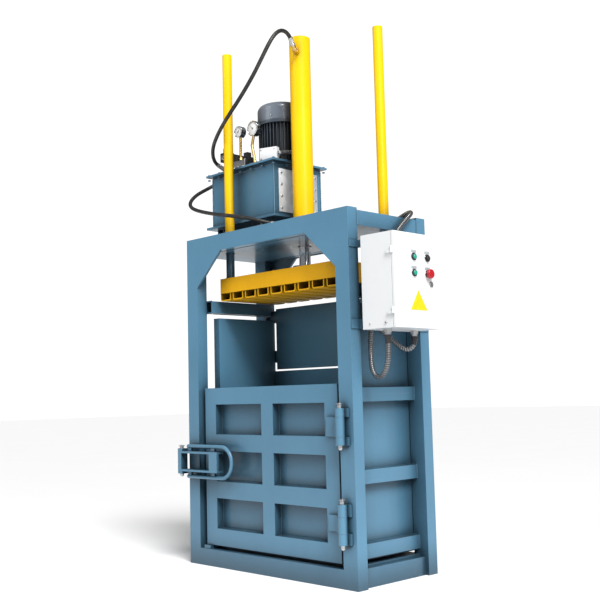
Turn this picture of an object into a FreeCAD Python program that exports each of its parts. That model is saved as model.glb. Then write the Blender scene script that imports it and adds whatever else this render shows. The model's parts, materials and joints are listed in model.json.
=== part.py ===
"""Vertical recycling baler: welded frame, swinging front door, hydraulic press platen and power unit.

Millimetres, +Z up. The origin is on the floor, under the middle of the welded frame.
+X is the right-hand side seen from the front, +Y runs from the door to the back.
Every named piece is written to parts/NAME.step.
"""
import FreeCAD, Part
import math
import os

Vec = FreeCAD.Vector
Z_AXIS = Vec(0, 0, 1)

# ---------------------------------------------------------------- driving dimensions
FRAME_W = 1120.0
FRAME_D = 520.0
FRAME_H = 1600.0
POST_W = 80.0
POST_D = 60.0
POST_WALL = 5.0

RAIL_H = 80.0
FLOOR_T = 10.0
PORTAL_T = 12.0
PORTAL_TOP = 1520.0
PORTAL_FOOT = 1350.0
PORTAL_HALF = 295.0
DECK_Z = 1524.0
DECK_T = 12.0
TOP_BEAM_W = 60.0
TOP_BEAM_H = 66.0
CROSS_BEAM_D = 50.0

CHAMBER_HALF = 433.0
LINER_T = 6.0
SKIN_T = 4.0
PANEL_T = 42.0
PANEL_Z0 = 100.0
PANEL_Z1 = 1200.0
PANEL_FRONT = -160.0
PANEL_BACK = 214.0
RIB_D = 37.0
RIB_H = 60.0
RIB_Z = (113.0, 422.0, 771.0)
UPPER_RAIL_Z = 1225.0
UPPER_RAIL = 60.0
BACK_T = 6.0

DOOR_HALF = 452.0
DOOR_Z0 = 98.0
DOOR_Z1 = 850.0
DOOR_FRONT = -240.0
DOOR_D = 40.0
DOOR_BAR = 80.0
DOOR_WALL = 4.0
DOOR_SHEET_T = 6.0

HINGE_X = 504.0
HINGE_Y = -283.0
KNUCKLE_R = 20.0
PIN_R = 10.0
RUN_GAP = 0.05
UPPER_HINGE = (592.0, 626.0, 709.0, 746.0)
LOWER_HINGE = (184.0, 231.0, 299.0, 350.0)
PIN_OVER = 12.0

LATCH_X = -588.0
LATCH_Y = -286.0
LATCH_Z = 496.0
LATCH_GAP = 78.0
LATCH_PLATE_T = 10.0
LATCH_END = -290.0
HANDLE_R = 9.5
HANDLE_HALF = 73.0
HANDLE_END = -202.0

RAM_Y = 30.0
RAM_TUBE_R = 52.0
RAM_BORE_R = 42.0
RAM_ROD_R = 28.0
RAM_TOP = 2570.0
GLAND_H = 60.0
PISTON_Z = 2466.0
PISTON_H = 40.0
FLANGE_R = 86.0
FLANGE_T = 20.0
FLANGE_PITCH_R = 71.0
FLANGE_BOLT_R = 6.0
TOP_PORT = Vec(math.cos(math.radians(-60)), math.sin(math.radians(-60)), 0)
LOW_PORT = Vec(math.cos(math.radians(-120)), math.sin(math.radians(-120)), 0)
TOP_PORT_Z = 2486.0
LOW_PORT_Z = 1622.0

GUIDE_X = 380.0
GUIDE_DY = 154.0
GUIDE_TUBE_R = 24.0
GUIDE_BORE_R = 22.0
GUIDE_ROD_R = 21.0
GUIDE_TOP = 2555.0
BUSH_H = 60.0

PLATEN_HALF = 408.0
PLATEN_Y0 = -168.0
PLATEN_Y1 = 208.0
PLATEN_Z0 = 1320.0
PLATEN_Z1 = 1394.0
PLATEN_PLATE = 10.0
CHANNEL_PITCH = 93.0
CHANNEL_COUNT = 9
CHANNEL_W = 78.0
CHANNEL_H = 38.0
CHANNEL_T = 6.0

TANK_X = (-590.0, -112.0)
TANK_Y = (-60.0, 264.0)
TANK_Z = (1680.0, 1960.0)
TANK_FLANGE = 25.0
TANK_FLANGE_T = 12.0
TANK_WALL = 4.0
LID_T = 10.0

MOTOR_X = -222.0
MOTOR_Y = 100.0
MOTOR_CORE_R = 100.0
MOTOR_FIN_R = 117.0
MOTOR_FINS = 40
MOTOR_Z1 = 2187.0
COWL_R = 121.0
COWL_SHOULDER = 34.0
COWL_WALL = 2.5
COWL_TOP = 2290.0
SHAFT_R = 12.0
TERMINAL_TURN = -69.0
PUMP_Z = 1850.0
GAUGES = ((-270.0, -40.0, 2160.0), (-446.0, 14.0, 2190.0))
GAUGE_R = (38.0, 30.0)
GAUGE_PIPE = ((-266, -42, 1970), (-292, -41, 2078), (-272, -40, 2150))

BOX_X = (598.0, 764.0)
BOX_Y = (-225.0, 75.0)
BOX_Z = (1070.0, 1468.0)
BOX_WALL = 2.0
BOX_DOOR_X = (766.0, 778.0)
BUTTON_Y = (-97.0, -8.0)
BUTTON_Z = (1300.0, 1368.0)
BUTTON_R = 10.0
COLLAR_R = 15.0
LOCK_YZ = (14.0, 1257.0)
BOX_HINGES = (1140.0, 1390.0)
HINGE_PIN_X = 771.0
GLANDS = ((704.0, -190.0), (668.0, 26.0))

HOSE_R = 9.5
CONDUIT_R = 11.0
FACING = 3.0


# ---------------------------------------------------------------- small shape helpers
def box(x0, x1, y0, y1, z0, z1):
    return Part.makeBox(x1 - x0, y1 - y0, z1 - z0, Vec(x0, y0, z0))


def rod(radius, start, length, direction=Z_AXIS):
    return Part.makeCylinder(radius, length, Vec(*start), Vec(direction))


def ring(outer, inner, start, length, direction=Z_AXIS):
    return rod(outer, start, length, direction).cut(rod(inner, start, length, direction))


def prism(points, axis_vec):
    wire = Part.makePolygon([Vec(*p) for p in points + [points[0]]])
    return Part.Face(wire).extrude(Vec(*axis_vec))


def fuse(first, *others):
    return first.fuse(list(others)).removeSplitter()


def tube_x(x0, x1, y0, y1, z0, z1, wall):
    """Rectangular hollow section that runs along X."""
    return box(x0, x1, y0, y1, z0, z1).cut(box(x0 - 1, x1 + 1, y0 + wall, y1 - wall, z0 + wall, z1 - wall))


def tube_y(x0, x1, y0, y1, z0, z1, wall):
    """Rectangular hollow section that runs along Y."""
    return box(x0, x1, y0, y1, z0, z1).cut(box(x0 + wall, x1 - wall, y0 - 1, y1 + 1, z0 + wall, z1 - wall))


def mirror_x(shape):
    return shape.mirror(Vec(0, 0, 0), Vec(1, 0, 0))


def both_sides(shape):
    return [shape, mirror_x(shape)]


def save(name, shapes):
    """Write one node; a list of shapes becomes a group of separate solids."""
    if isinstance(shapes, list):
        shapes = Part.makeCompound(shapes)
    shapes.exportStep("parts/%s.step" % name)
    print("%-22s solids %2d  volume %10.0f  valid %s" % (
        name, len(shapes.Solids), shapes.Volume, shapes.isValid()))


# ---------------------------------------------------------------- welded frame
def corner_posts():
    """Rectangular hollow sections with a closed top and an open foot."""
    half_w, half_d = FRAME_W / 2, FRAME_D / 2
    posts = []
    for side in (-1, 1):
        for end in (-1, 1):
            x0 = min(side * half_w, side * (half_w - POST_W))
            y0 = min(end * half_d, end * (half_d - POST_D))
            outer = box(x0, x0 + POST_W, y0, y0 + POST_D, 0, FRAME_H)
            inner = box(x0 + POST_WALL, x0 + POST_W - POST_WALL, y0 + POST_WALL,
                        y0 + POST_D - POST_WALL, -1, FRAME_H - POST_WALL)
            posts.append(outer.cut(inner))
    save("corner_posts", posts)


def base_frame():
    """Sills, side rails, bearers under the floor and the rest under the door's free corner."""
    inner_x = FRAME_W / 2 - POST_W
    inner_y = FRAME_D / 2 - POST_D
    rails = [tube_x(-inner_x, inner_x, s * inner_y - (POST_D if s < 0 else 0),
                    s * inner_y + (POST_D if s > 0 else 0), 0, RAIL_H, POST_WALL) for s in (-1, 1)]
    rails += both_sides(tube_y(inner_x + 1, inner_x + 61, -inner_y, inner_y, 0, RAIL_H, POST_WALL))
    rails += [tube_y(x - 40, x + 40, -inner_y, inner_y, 0, RAIL_H, POST_WALL) for x in (-260, 0, 260)]
    rails.append(box(-DOOR_HALF - 3, -DOOR_HALF + 42, DOOR_FRONT - 15, -inner_y - 5, RAIL_H, RAIL_H + 16))
    save("base_frame", rails)


def chamber_floor():
    inner_x = FRAME_W / 2 - POST_W
    inner_y = FRAME_D / 2 - POST_D
    edge = inner_x + 30
    outline = [(-edge, -inner_y, RAIL_H), (edge, -inner_y, RAIL_H), (edge, inner_y, RAIL_H),
               (inner_x - 2, inner_y, RAIL_H), (inner_x - 2, PANEL_BACK, RAIL_H),
               (-inner_x + 2, PANEL_BACK, RAIL_H), (-inner_x + 2, inner_y, RAIL_H), (-edge, inner_y, RAIL_H)]
    save("floor_plate", prism(outline, (0, 0, FLOOR_T)))


def portal(front_y, inward):
    """Cross beam with a gusseted plate below it, closing one end of the frame under the deck."""
    inner_x = FRAME_W / 2 - POST_W
    outline = [(-inner_x, front_y, FRAME_H), (-inner_x, front_y, PORTAL_FOOT),
               (-PORTAL_HALF, front_y, PORTAL_TOP), (PORTAL_HALF, front_y, PORTAL_TOP),
               (inner_x, front_y, PORTAL_FOOT), (inner_x, front_y, FRAME_H)]
    plate = prism(outline, (0, inward * PORTAL_T, 0))
    y_near, y_far = sorted((front_y + inward * PORTAL_T, front_y + inward * CROSS_BEAM_D))
    return fuse(plate, box(-inner_x, inner_x, y_near, y_far, DECK_Z, FRAME_H))


def top_of_frame():
    inner_y = FRAME_D / 2 - POST_D
    half = FRAME_D / 2
    save("portal_fascias", [portal(-half, 1), portal(half, -1)])
    outer_x = FRAME_W / 2
    save("top_side_beams", both_sides(tube_y(outer_x - TOP_BEAM_W, outer_x, -inner_y, inner_y,
                                             DECK_Z, DECK_Z + TOP_BEAM_H, POST_WALL)))
    edge = outer_x - TOP_BEAM_W
    z0, through = DECK_Z - 1, DECK_T + 2
    holes = [rod(RAM_ROD_R + 6, (0, RAM_Y, z0), through)]
    holes += [rod(GUIDE_ROD_R + 4, (x, y, z0), through) for x, y in guide_places()]
    holes += [rod(FLANGE_BOLT_R, (x, y, z0), through) for x, y in flange_bolt_places()]
    holes += [box(x - 35, x + 35, -95, -75, z0, z0 + through) for x in (-190, 190)]
    save("deck_plate", box(-edge, edge, -inner_y, inner_y, DECK_Z, DECK_Z + DECK_T).cut(holes))


def chamber_walls():
    inner_y = FRAME_D / 2 - POST_D
    x_liner = CHAMBER_HALF
    x_skin = CHAMBER_HALF + PANEL_T
    sheets = both_sides(box(x_liner, x_liner + LINER_T, PANEL_FRONT, PANEL_BACK, PANEL_Z0, PANEL_Z1))
    sheets += both_sides(box(x_skin - SKIN_T, x_skin, PANEL_FRONT, PANEL_BACK, PANEL_Z0, PANEL_Z1))
    save("side_wall_sheets", sheets)
    stiles = []
    for y0 in (PANEL_FRONT, PANEL_BACK - 40):
        stiles += both_sides(box(x_liner + LINER_T, x_skin - SKIN_T, y0, y0 + 40, PANEL_Z0, PANEL_Z1))
    save("side_stiles", stiles)
    ribs = []
    for z0 in RIB_Z:
        ribs += both_sides(tube_y(x_skin, x_skin + RIB_D, -inner_y, inner_y, z0, z0 + RIB_H, POST_WALL))
    save("side_ribs", ribs)
    x_rail = CHAMBER_HALF + 7
    save("upper_side_rails", both_sides(tube_y(x_rail, x_rail + UPPER_RAIL, -inner_y, inner_y, UPPER_RAIL_Z,
                                               UPPER_RAIL_Z + UPPER_RAIL, POST_WALL)))


def chamber_back():
    inner_x = FRAME_W / 2 - POST_W
    lower = box(-inner_x + 5, inner_x - 5, PANEL_BACK, PANEL_BACK + BACK_T, PANEL_Z0, 935)
    upper = box(-CHAMBER_HALF + 15, CHAMBER_HALF - 15, PANEL_BACK, PANEL_BACK + BACK_T, 943, 1262)
    save("back_panels", [lower, upper])
    y0 = PANEL_BACK + BACK_T
    save("back_ribs", [tube_x(-inner_x, inner_x, y0, FRAME_D / 2 - 2, z0, z0 + 60, POST_WALL)
                       for z0 in (150, 422, 771, 980, 1190)])


# ---------------------------------------------------------------- door, its hinges and its latch
def knuckle(z0, z1, bore):
    return ring(KNUCKLE_R, bore, (HINGE_X, HINGE_Y, z0), z1 - z0)


def frame_knuckle(z0, z1):
    """Fixed hinge knuckle with its leaf welded to the front of the right-hand post."""
    face = -FRAME_D / 2
    leaf = box(HINGE_X - 18, HINGE_X + 34, face - 8, face, z0, z1)
    web = box(HINGE_X - 8, HINGE_X + 8, HINGE_Y + 5, face - 4, z0, z1)
    bore = rod(PIN_R, (HINGE_X, HINGE_Y, z0), z1 - z0)
    return fuse(knuckle(z0, z1, PIN_R), leaf, web).cut(bore)


def door_knuckle(z0, z1):
    """Moving knuckle: a leaf on the face of the door, cranked forward round the edge of the post."""
    lift = 0.5
    z0, z1 = z0 + lift, z1 - lift
    crank = prism([(DOOR_HALF - 62, DOOR_FRONT, z0), (DOOR_HALF + 2, DOOR_FRONT, z0), (DOOR_HALF + 20, -265, z0),
                   (HINGE_X, -265, z0), (HINGE_X, -285, z0), (DOOR_HALF + 14, -281, z0),
                   (DOOR_HALF - 4, DOOR_FRONT - 12, z0), (DOOR_HALF - 62, DOOR_FRONT - 12, z0)], (0, 0, z1 - z0))
    bore = rod(PIN_R + RUN_GAP, (HINGE_X, HINGE_Y, z0), z1 - z0)
    return fuse(knuckle(z0, z1, PIN_R), crank).cut(bore)


def pin(x, y, z0, z1, radius):
    """Plain pin with a domed head and foot."""
    top = Part.makeSphere(radius, Vec(x, y, z1))
    foot = Part.makeSphere(radius, Vec(x, y, z0))
    return fuse(rod(radius, (x, y, z0), z1 - z0), top, foot)


def door_hinges():
    fixed, moving, pins = [], [], []
    for z0, z1, z2, z3 in (UPPER_HINGE, LOWER_HINGE):
        fixed += [frame_knuckle(z0, z1), frame_knuckle(z2, z3)]
        moving.append(door_knuckle(z1, z2))
        pins.append(pin(HINGE_X, HINGE_Y, z0 - PIN_OVER, z3 + PIN_OVER, PIN_R))
    latch_pin = pin(LATCH_X, LATCH_Y, LATCH_Z - LATCH_GAP / 2 - 28, LATCH_Z + LATCH_GAP / 2 + 28, PIN_R)
    save("frame_hinge_knuckles", fixed)
    save("door_hinge_leaves", moving)
    save("pivot_pins", pins + [latch_pin])


def door():
    back = DOOR_FRONT + DOOR_D
    pitch = (DOOR_Z1 - DOOR_Z0 - DOOR_BAR) / 3
    bars = []
    for x0 in (-DOOR_HALF, -DOOR_BAR / 2, DOOR_HALF - DOOR_BAR):
        outer = box(x0, x0 + DOOR_BAR, DOOR_FRONT, back, DOOR_Z0, DOOR_Z1)
        bars.append(outer.cut(box(x0 + DOOR_WALL, x0 + DOOR_BAR - DOOR_WALL, DOOR_FRONT + DOOR_WALL,
                                  back - DOOR_WALL, DOOR_Z0 - 1, DOOR_Z1 - DOOR_WALL)))
    inner = DOOR_HALF - DOOR_BAR
    for row in range(4):
        z0 = DOOR_Z0 + row * pitch
        for x0, x1 in ((-inner, -DOOR_BAR / 2), (DOOR_BAR / 2, inner)):
            bars.append(tube_x(x0, x1, DOOR_FRONT, back, z0, z0 + DOOR_BAR, DOOR_WALL))
    save("door_frame", bars)
    save("door_sheet", box(-DOOR_HALF, DOOR_HALF, back, back + DOOR_SHEET_T, DOOR_Z0, DOOR_Z1))


def latch():
    """Swinging clamp: two lugs on the post, a forked arm on a vertical pin and a round-bar handle."""
    z_low = LATCH_Z - LATCH_GAP / 2
    z_high = LATCH_Z + LATCH_GAP / 2
    face = -FRAME_D / 2
    post_x = -FRAME_W / 2
    plate_t = LATCH_PLATE_T
    lugs = []
    for z0 in (z_low - plate_t - 12, z_high + plate_t + 0.5):
        thick = 11.5
        tongue = box(LATCH_X, post_x, LATCH_Y - 20, face + 55, z0, z0 + thick)
        eye = rod(20, (LATCH_X, LATCH_Y, z0), thick)
        lugs.append(fuse(tongue, eye).cut(rod(PIN_R, (LATCH_X, LATCH_Y, z0), thick)))
    save("latch_lugs", lugs)
    blank = fuse(box(LATCH_X, LATCH_END, LATCH_Y - 20, LATCH_Y + 20, z_low - plate_t, z_high + plate_t),
                 rod(20, (LATCH_X, LATCH_Y, z_low - plate_t), LATCH_GAP + 2 * plate_t))
    window = box(LATCH_X + 30, LATCH_END - 60, LATCH_Y - 30, LATCH_Y + 30, z_low, z_high)
    behind = box(LATCH_END - 70, LATCH_END + 1, LATCH_Y - 8, LATCH_Y + 30, z_low, z_high)
    side_gap = box(LATCH_X + 20, LATCH_X + 40, LATCH_Y - 30, LATCH_Y + 30, z_low, z_high)
    clamp = blank.cut([window, behind, side_gap, rod(PIN_R + RUN_GAP, (LATCH_X, LATCH_Y, z_low - plate_t),
                                                     LATCH_GAP + 2 * plate_t)])
    save("latch_clamp", clamp)
    save("latch_handle", latch_handle(z_low - plate_t, z_high + plate_t))


def latch_handle(z_low, z_high):
    """Round bar bent to a U that lies on its side, standing on four short blocks over and under the arm."""
    y = LATCH_Y
    x_open = LATCH_X + 53
    bend_x = HANDLE_END - HANDLE_HALF
    top, low = LATCH_Z + HANDLE_HALF, LATCH_Z - HANDLE_HALF
    path = Part.Wire([
        Part.LineSegment(Vec(x_open, y, top), Vec(bend_x, y, top)).toShape(),
        Part.Arc(Vec(bend_x, y, top), Vec(HANDLE_END, y, LATCH_Z), Vec(bend_x, y, low)).toShape(),
        Part.LineSegment(Vec(bend_x, y, low), Vec(x_open, y, low)).toShape()])
    profile = Part.Wire([Part.makeCircle(HANDLE_R, Vec(x_open, y, top), Vec(1, 0, 0))])
    bar = path.makePipeShell([profile], True, False)
    blocks = []
    for x0 in (x_open + 4, LATCH_END - 60):
        blocks.append(box(x0, x0 + 26, y - 6, y + 6, z_high, top - HANDLE_R / 2))
        blocks.append(box(x0, x0 + 26, y - 6, y + 6, low + HANDLE_R / 2, z_low))
    return fuse(bar, *blocks)


# ---------------------------------------------------------------- press: cylinder, guides and platen
def press_cylinder():
    z0 = DECK_Z + DECK_T
    tube = ring(RAM_TUBE_R, RAM_BORE_R, (0, RAM_Y, z0), RAM_TOP - z0 - 24)
    cap = rod(RAM_TUBE_R, (0, RAM_Y, RAM_TOP - 24), 22)
    rim = rod(RAM_TUBE_R - 4, (0, RAM_Y, RAM_TOP - 2), 2)
    solids = [tube, cap, rim]
    cuts = []
    for direction, z in ((TOP_PORT, TOP_PORT_Z), (LOW_PORT, LOW_PORT_Z)):
        start = Vec(0, RAM_Y, z) + direction * (RAM_TUBE_R - 6)
        solids.append(Part.makeCylinder(14, 24, start, direction))
        cuts.append(Part.makeCylinder(6, 60, Vec(0, RAM_Y, z) + direction * (RAM_BORE_R - 5), direction))
    save("cylinder_tube", fuse(*solids).cut(cuts))
    gland = ring(RAM_BORE_R, RAM_ROD_R + RUN_GAP, (0, RAM_Y, z0), GLAND_H)
    save("cylinder_gland", gland)
    flange = ring(FLANGE_R, RAM_TUBE_R, (0, RAM_Y, z0), FLANGE_T)
    bolts, shanks = [], []
    for x, y in flange_bolt_places():
        shank = rod(FLANGE_BOLT_R, (x, y, DECK_Z), DECK_T + FLANGE_T)
        shanks.append(shank)
        bolts.append(fuse(shank, hexagon(x, y, z0 + FLANGE_T, 19, 10)))
    save("cylinder_flange", flange.cut(shanks))
    save("deck_bolts", bolts)


def flange_bolt_places():
    angles = [math.radians(22.5 + 45 * k) for k in range(8)]
    return [(FLANGE_PITCH_R * math.cos(a), RAM_Y + FLANGE_PITCH_R * math.sin(a)) for a in angles]


def hexagon(x, y, z, flats, height):
    radius = flats / math.sqrt(3)
    points = [(x + radius * math.cos(math.radians(60 * k)), y + radius * math.sin(math.radians(60 * k)), z)
              for k in range(6)]
    return prism(points, (0, 0, height))


def guide_places():
    return [(side * GUIDE_X, RAM_Y + side * GUIDE_DY) for side in (-1, 1)]


def guides():
    z0 = DECK_Z + DECK_T
    tubes, bushes, rods = [], [], []
    for x, y in guide_places():
        outer = rod(GUIDE_TUBE_R, (x, y, z0), GUIDE_TOP - z0)
        inner = rod(GUIDE_BORE_R, (x, y, z0 - 1), GUIDE_TOP - 5 - z0)
        y_room = FRAME_D / 2 - POST_D - abs(y)
        foot = box(x - 45, x + 45, y - min(45, y_room + (45 if y > 0 else 0)),
                   y + min(45, y_room + (45 if y < 0 else 0)), z0, z0 + 10)
        tubes.append(fuse(outer, foot).cut(inner))
        bushes.append(ring(GUIDE_BORE_R, GUIDE_ROD_R + RUN_GAP, (x, y, z0), BUSH_H))
        collar = rod(GUIDE_ROD_R + 2, (x, y, PLATEN_Z1), 8)
        rods.append(fuse(rod(GUIDE_ROD_R, (x, y, PLATEN_Z1), 1090), collar))
    save("guide_tubes", tubes)
    save("guide_bushes", bushes)
    save("guide_rods", rods)


def platen():
    """Open-topped welded tray of plates, with strap channels under it and a boss for the ram."""
    t = PLATEN_PLATE
    x1, y0, y1 = PLATEN_HALF, PLATEN_Y0, PLATEN_Y1
    outer = box(-x1, x1, y0, y1, PLATEN_Z0, PLATEN_Z1)
    cells = []
    for side in (-1, 1):
        cells.append(box(min(side * 170, side * (x1 - t)), max(side * 170, side * (x1 - t)), y0 + t, y1 - t,
                         PLATEN_Z0 + t, PLATEN_Z1 - t))
    top = [box(min(s * 190, s * 330), max(s * 190, s * 330), y0 + 60, y1 - 60, PLATEN_Z1 - t - 1, PLATEN_Z1 + 1)
           for s in (-1, 1)]
    middle = box(-158, 158, y0 + t, y1 - t, PLATEN_Z0 + t, PLATEN_Z1 - t)
    body = outer.cut(cells + top + [middle])
    boss = box(-160, 160, RAM_Y - 90, RAM_Y + 90, PLATEN_Z1, PLATEN_Z1 + 16)
    save("platen_frame", fuse(body, boss))
    save("strap_channels", [strap_channel((k - (CHANNEL_COUNT - 1) / 2) * CHANNEL_PITCH)
                            for k in range(CHANNEL_COUNT)])


def strap_channel(x):
    """Folded channel, open upward, that keeps a slot clear for a bale strap."""
    y0, y1 = PLATEN_Y0 + 3, PLATEN_Y1 - 3
    outer = box(x - CHANNEL_W / 2, x + CHANNEL_W / 2, y0, y1, PLATEN_Z0 - CHANNEL_H, PLATEN_Z0)
    low_edges = [e for e in outer.Edges if abs(e.BoundBox.ZMax - (PLATEN_Z0 - CHANNEL_H)) < 0.01
                 and e.BoundBox.YLength > 10]
    outer = outer.makeFillet(12, low_edges)
    half = CHANNEL_W / 2 - CHANNEL_T
    inner = box(x - half, x + half, y0 - 1, y1 + 1, PLATEN_Z0 - CHANNEL_H + CHANNEL_T, PLATEN_Z0 + 20)
    low_edges = [e for e in inner.Edges if abs(e.BoundBox.ZMax - (PLATEN_Z0 - CHANNEL_H + CHANNEL_T)) < 0.01
                 and e.BoundBox.YLength > 10]
    return outer.cut(inner.makeFillet(6, low_edges))


def ram():
    z0 = PLATEN_Z1 + 16
    foot = rod(60, (0, RAM_Y, z0), 18)
    save("ram_rod", fuse(rod(RAM_ROD_R, (0, RAM_Y, z0), PISTON_Z - z0), foot))
    save("ram_piston", rod(RAM_BORE_R - RUN_GAP, (0, RAM_Y, PISTON_Z), PISTON_H))


# ---------------------------------------------------------------- power unit on the deck
def tank():
    x0, x1 = TANK_X
    y0, y1 = TANK_Y
    z0, z1 = TANK_Z
    lap = TANK_FLANGE
    base = box(x0 - lap, x1 + lap, y0 - lap, y1 + lap, z0, z0 + TANK_FLANGE_T)
    shell = box(x0, x1, y0, y1, z0 + TANK_FLANGE_T, z1)
    hollow = box(x0 + TANK_WALL, x1 - TANK_WALL, y0 + TANK_WALL, y1 - TANK_WALL, z0 + TANK_FLANGE_T, z1 + 1)
    save("tank_body", fuse(base, shell).cut(hollow))
    lid = box(x0 - lap, x1 + lap, y0 - lap, y1 + lap, z1, z1 + LID_T)
    save("tank_lid", lid.cut(rod(45, (MOTOR_X, MOTOR_Y, z1 - 1), LID_T + 2)))
    edge = FRAME_W / 2
    deck_top = DECK_Z + DECK_T
    beam_top = DECK_Z + TOP_BEAM_H
    save("tank_supports", [tube_y(-edge + 5, -edge + 55, y0, 196, beam_top, z0, POST_WALL),
                           tube_y(-210, -160, y0, 196, deck_top, z0, POST_WALL)])
    neck = rod(18, (-545, 215, z1 + LID_T), 26)
    cap = rod(30, (-545, 215, z1 + LID_T + 26), 34)
    save("oil_breather", fuse(neck, cap))


def motor():
    lid = TANK_Z[1] + LID_T
    centre = (MOTOR_X, MOTOR_Y)
    outline = []
    step = 360.0 / MOTOR_FINS
    for k in range(MOTOR_FINS):
        for offset, radius in ((-1.35, MOTOR_CORE_R), (-1.0, MOTOR_FIN_R), (1.0, MOTOR_FIN_R), (1.35, MOTOR_CORE_R)):
            angle = math.radians(k * step + offset)
            outline.append((centre[0] + radius * math.cos(angle), centre[1] + radius * math.sin(angle), lid + 15))
    finned = prism(outline, (0, 0, MOTOR_Z1 - lid - 15))
    flange = rod(112, (*centre, lid), 15)
    seat = terminal_block(96, 128, 84, lid + 8, lid + 66)
    bore = rod(SHAFT_R + RUN_GAP, (*centre, lid - 1), MOTOR_Z1 - lid + 2)
    save("motor_body", fuse(finned, flange, seat).cut(bore))
    save("terminal_box", terminal_block(128, 158, 96, lid + 4, lid + 70))
    cowl()
    save("motor_shaft", rod(SHAFT_R, (*centre, PUMP_Z + 2), MOTOR_Z1 + 50 - PUMP_Z))
    hub = ring(26, SHAFT_R, (*centre, MOTOR_Z1 + 14), 30)
    blades = []
    for k in range(8):
        blade = box(centre[0] + 20, centre[0] + 104, centre[1] - 2, centre[1] + 2, MOTOR_Z1 + 12, MOTOR_Z1 + 46)
        blade.rotate(Vec(*centre, 0), Z_AXIS, 45 * k)
        blades.append(blade)
    shaft_hole = rod(SHAFT_R, (*centre, MOTOR_Z1), 60)
    save("cooling_fan", fuse(hub, *blades).cut(shaft_hole))


def terminal_block(near, far, width, z0, z1):
    """Box standing off the motor towards its connection side."""
    block = box(MOTOR_X + near, MOTOR_X + far, MOTOR_Y - width / 2, MOTOR_Y + width / 2, z0, z1)
    block.rotate(Vec(MOTOR_X, MOTOR_Y, 0), Z_AXIS, TERMINAL_TURN)
    return block


def cowl():
    """Fan cowl: a thin spun shell with a round shoulder and radial air slots in its crown."""
    x, y = MOTOR_X, MOTOR_Y

    def bell(radius, z0, z1, shoulder):
        drum = rod(radius, (x, y, z0), z1 - z0)
        return drum.makeFillet(shoulder, [e for e in drum.Edges if abs(e.BoundBox.ZMin - z1) < 0.01])

    outer = bell(COWL_R, MOTOR_Z1, COWL_TOP, COWL_SHOULDER)
    inner = bell(COWL_R - COWL_WALL, MOTOR_Z1 - 5, COWL_TOP - COWL_WALL, COWL_SHOULDER - COWL_WALL)
    slots = []
    for k in range(16):
        slot = box(x + 24, x + 76, y - 3.5, y + 3.5, COWL_TOP - 10, COWL_TOP + 5)
        slot.rotate(Vec(x, y, 0), Z_AXIS, 22.5 * k + 5)
        slots.append(slot)
    save("motor_cowl", outer.cut(inner).cut(slots))


def pump():
    lid_under = TANK_Z[1]
    centre = (MOTOR_X, MOTOR_Y)
    bell = ring(58, 42, (*centre, PUMP_Z + 20), lid_under - PUMP_Z - 20)
    body = box(MOTOR_X - 50, MOTOR_X + 50, MOTOR_Y - 58, MOTOR_Y + 58, PUMP_Z - 80, PUMP_Z + 22)
    suction = rod(15, (*centre, TANK_Z[0] + 30), PUMP_Z - 70 - TANK_Z[0] - 30)
    bore = rod(SHAFT_R + RUN_GAP, (*centre, PUMP_Z), 40)
    save("gear_pump", fuse(bell, body, suction).cut(bore))


def valve_group():
    lid = TANK_Z[1] + LID_T
    block = box(-512, -368, -27, 72, lid, lid + 56)
    block = block.makeFillet(3, [e for e in block.Edges if abs(e.BoundBox.ZLength) > 50])
    save("valve_block", block)
    z0 = lid + 56
    body = box(-506, -458, -22, 66, z0, z0 + 44)
    coils = [box(-507, -457, y, y + 52, z0, z0 + 47) for y in (-74, 66)]
    plugs = [box(-497, -467, y, y + 28, z0 + 47, z0 + 74) for y in (-62, 78)]
    coils = [fuse(coil, plug) for coil, plug in zip(coils, plugs)]
    save("solenoid_valves", [body] + coils)
    gauges = []
    for (x, y, z), radius in zip(GAUGES, GAUGE_R):
        case = rod(radius, (x, y + 15, z), 30, Vec(0, -1, 0))
        face = rod(radius - 4, (x, y - 13, z), 2.1, Vec(0, -1, 0))
        gauges.append(case.cut(face))
    save("pressure_gauges", gauges)


# ---------------------------------------------------------------- control box
def control_box():
    x0, x1 = BOX_X
    y0, y1 = BOX_Y
    z0, z1 = BOX_Z
    w = BOX_WALL
    shell = box(x0, x1, y0, y1, z0, z1).cut(box(x0 + w, x1 + 1, y0 + w, y1 - w, z0 + w, z1 - w))
    back_plate = box(x0 + 12, x0 + 14, y0 + 25, y1 - 25, z0 + 25, z1 - 25)
    studs = [rod(4, (x0 + w - 0.5, y, z), 11, Vec(1, 0, 0)) for y in (y0 + 45, y1 - 45) for z in (z0 + 45, z1 - 45)]
    glands_holes = [rod(8, (x, y, z0 - 1), 4) for x, y in GLANDS]
    shell = fuse(shell, back_plate, *studs).cut(glands_holes)
    leaves = []
    for z in BOX_HINGES:
        leaf = box(x1 - 22, HINGE_PIN_X, y0 - 8, y0 - 4, z - 14, z)
        link = box(x1 - 22, x1 - 4, y0 - 4, y0, z - 14, z)
        knob = rod(6, (HINGE_PIN_X, y0 - 6, z - 14), 14)
        spindle = rod(2.5, (HINGE_PIN_X, y0 - 6, z), 14)
        leaves += [leaf, link, knob, spindle]
    save("enclosure_body", fuse(shell, *leaves))
    control_door()
    brackets()


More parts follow.
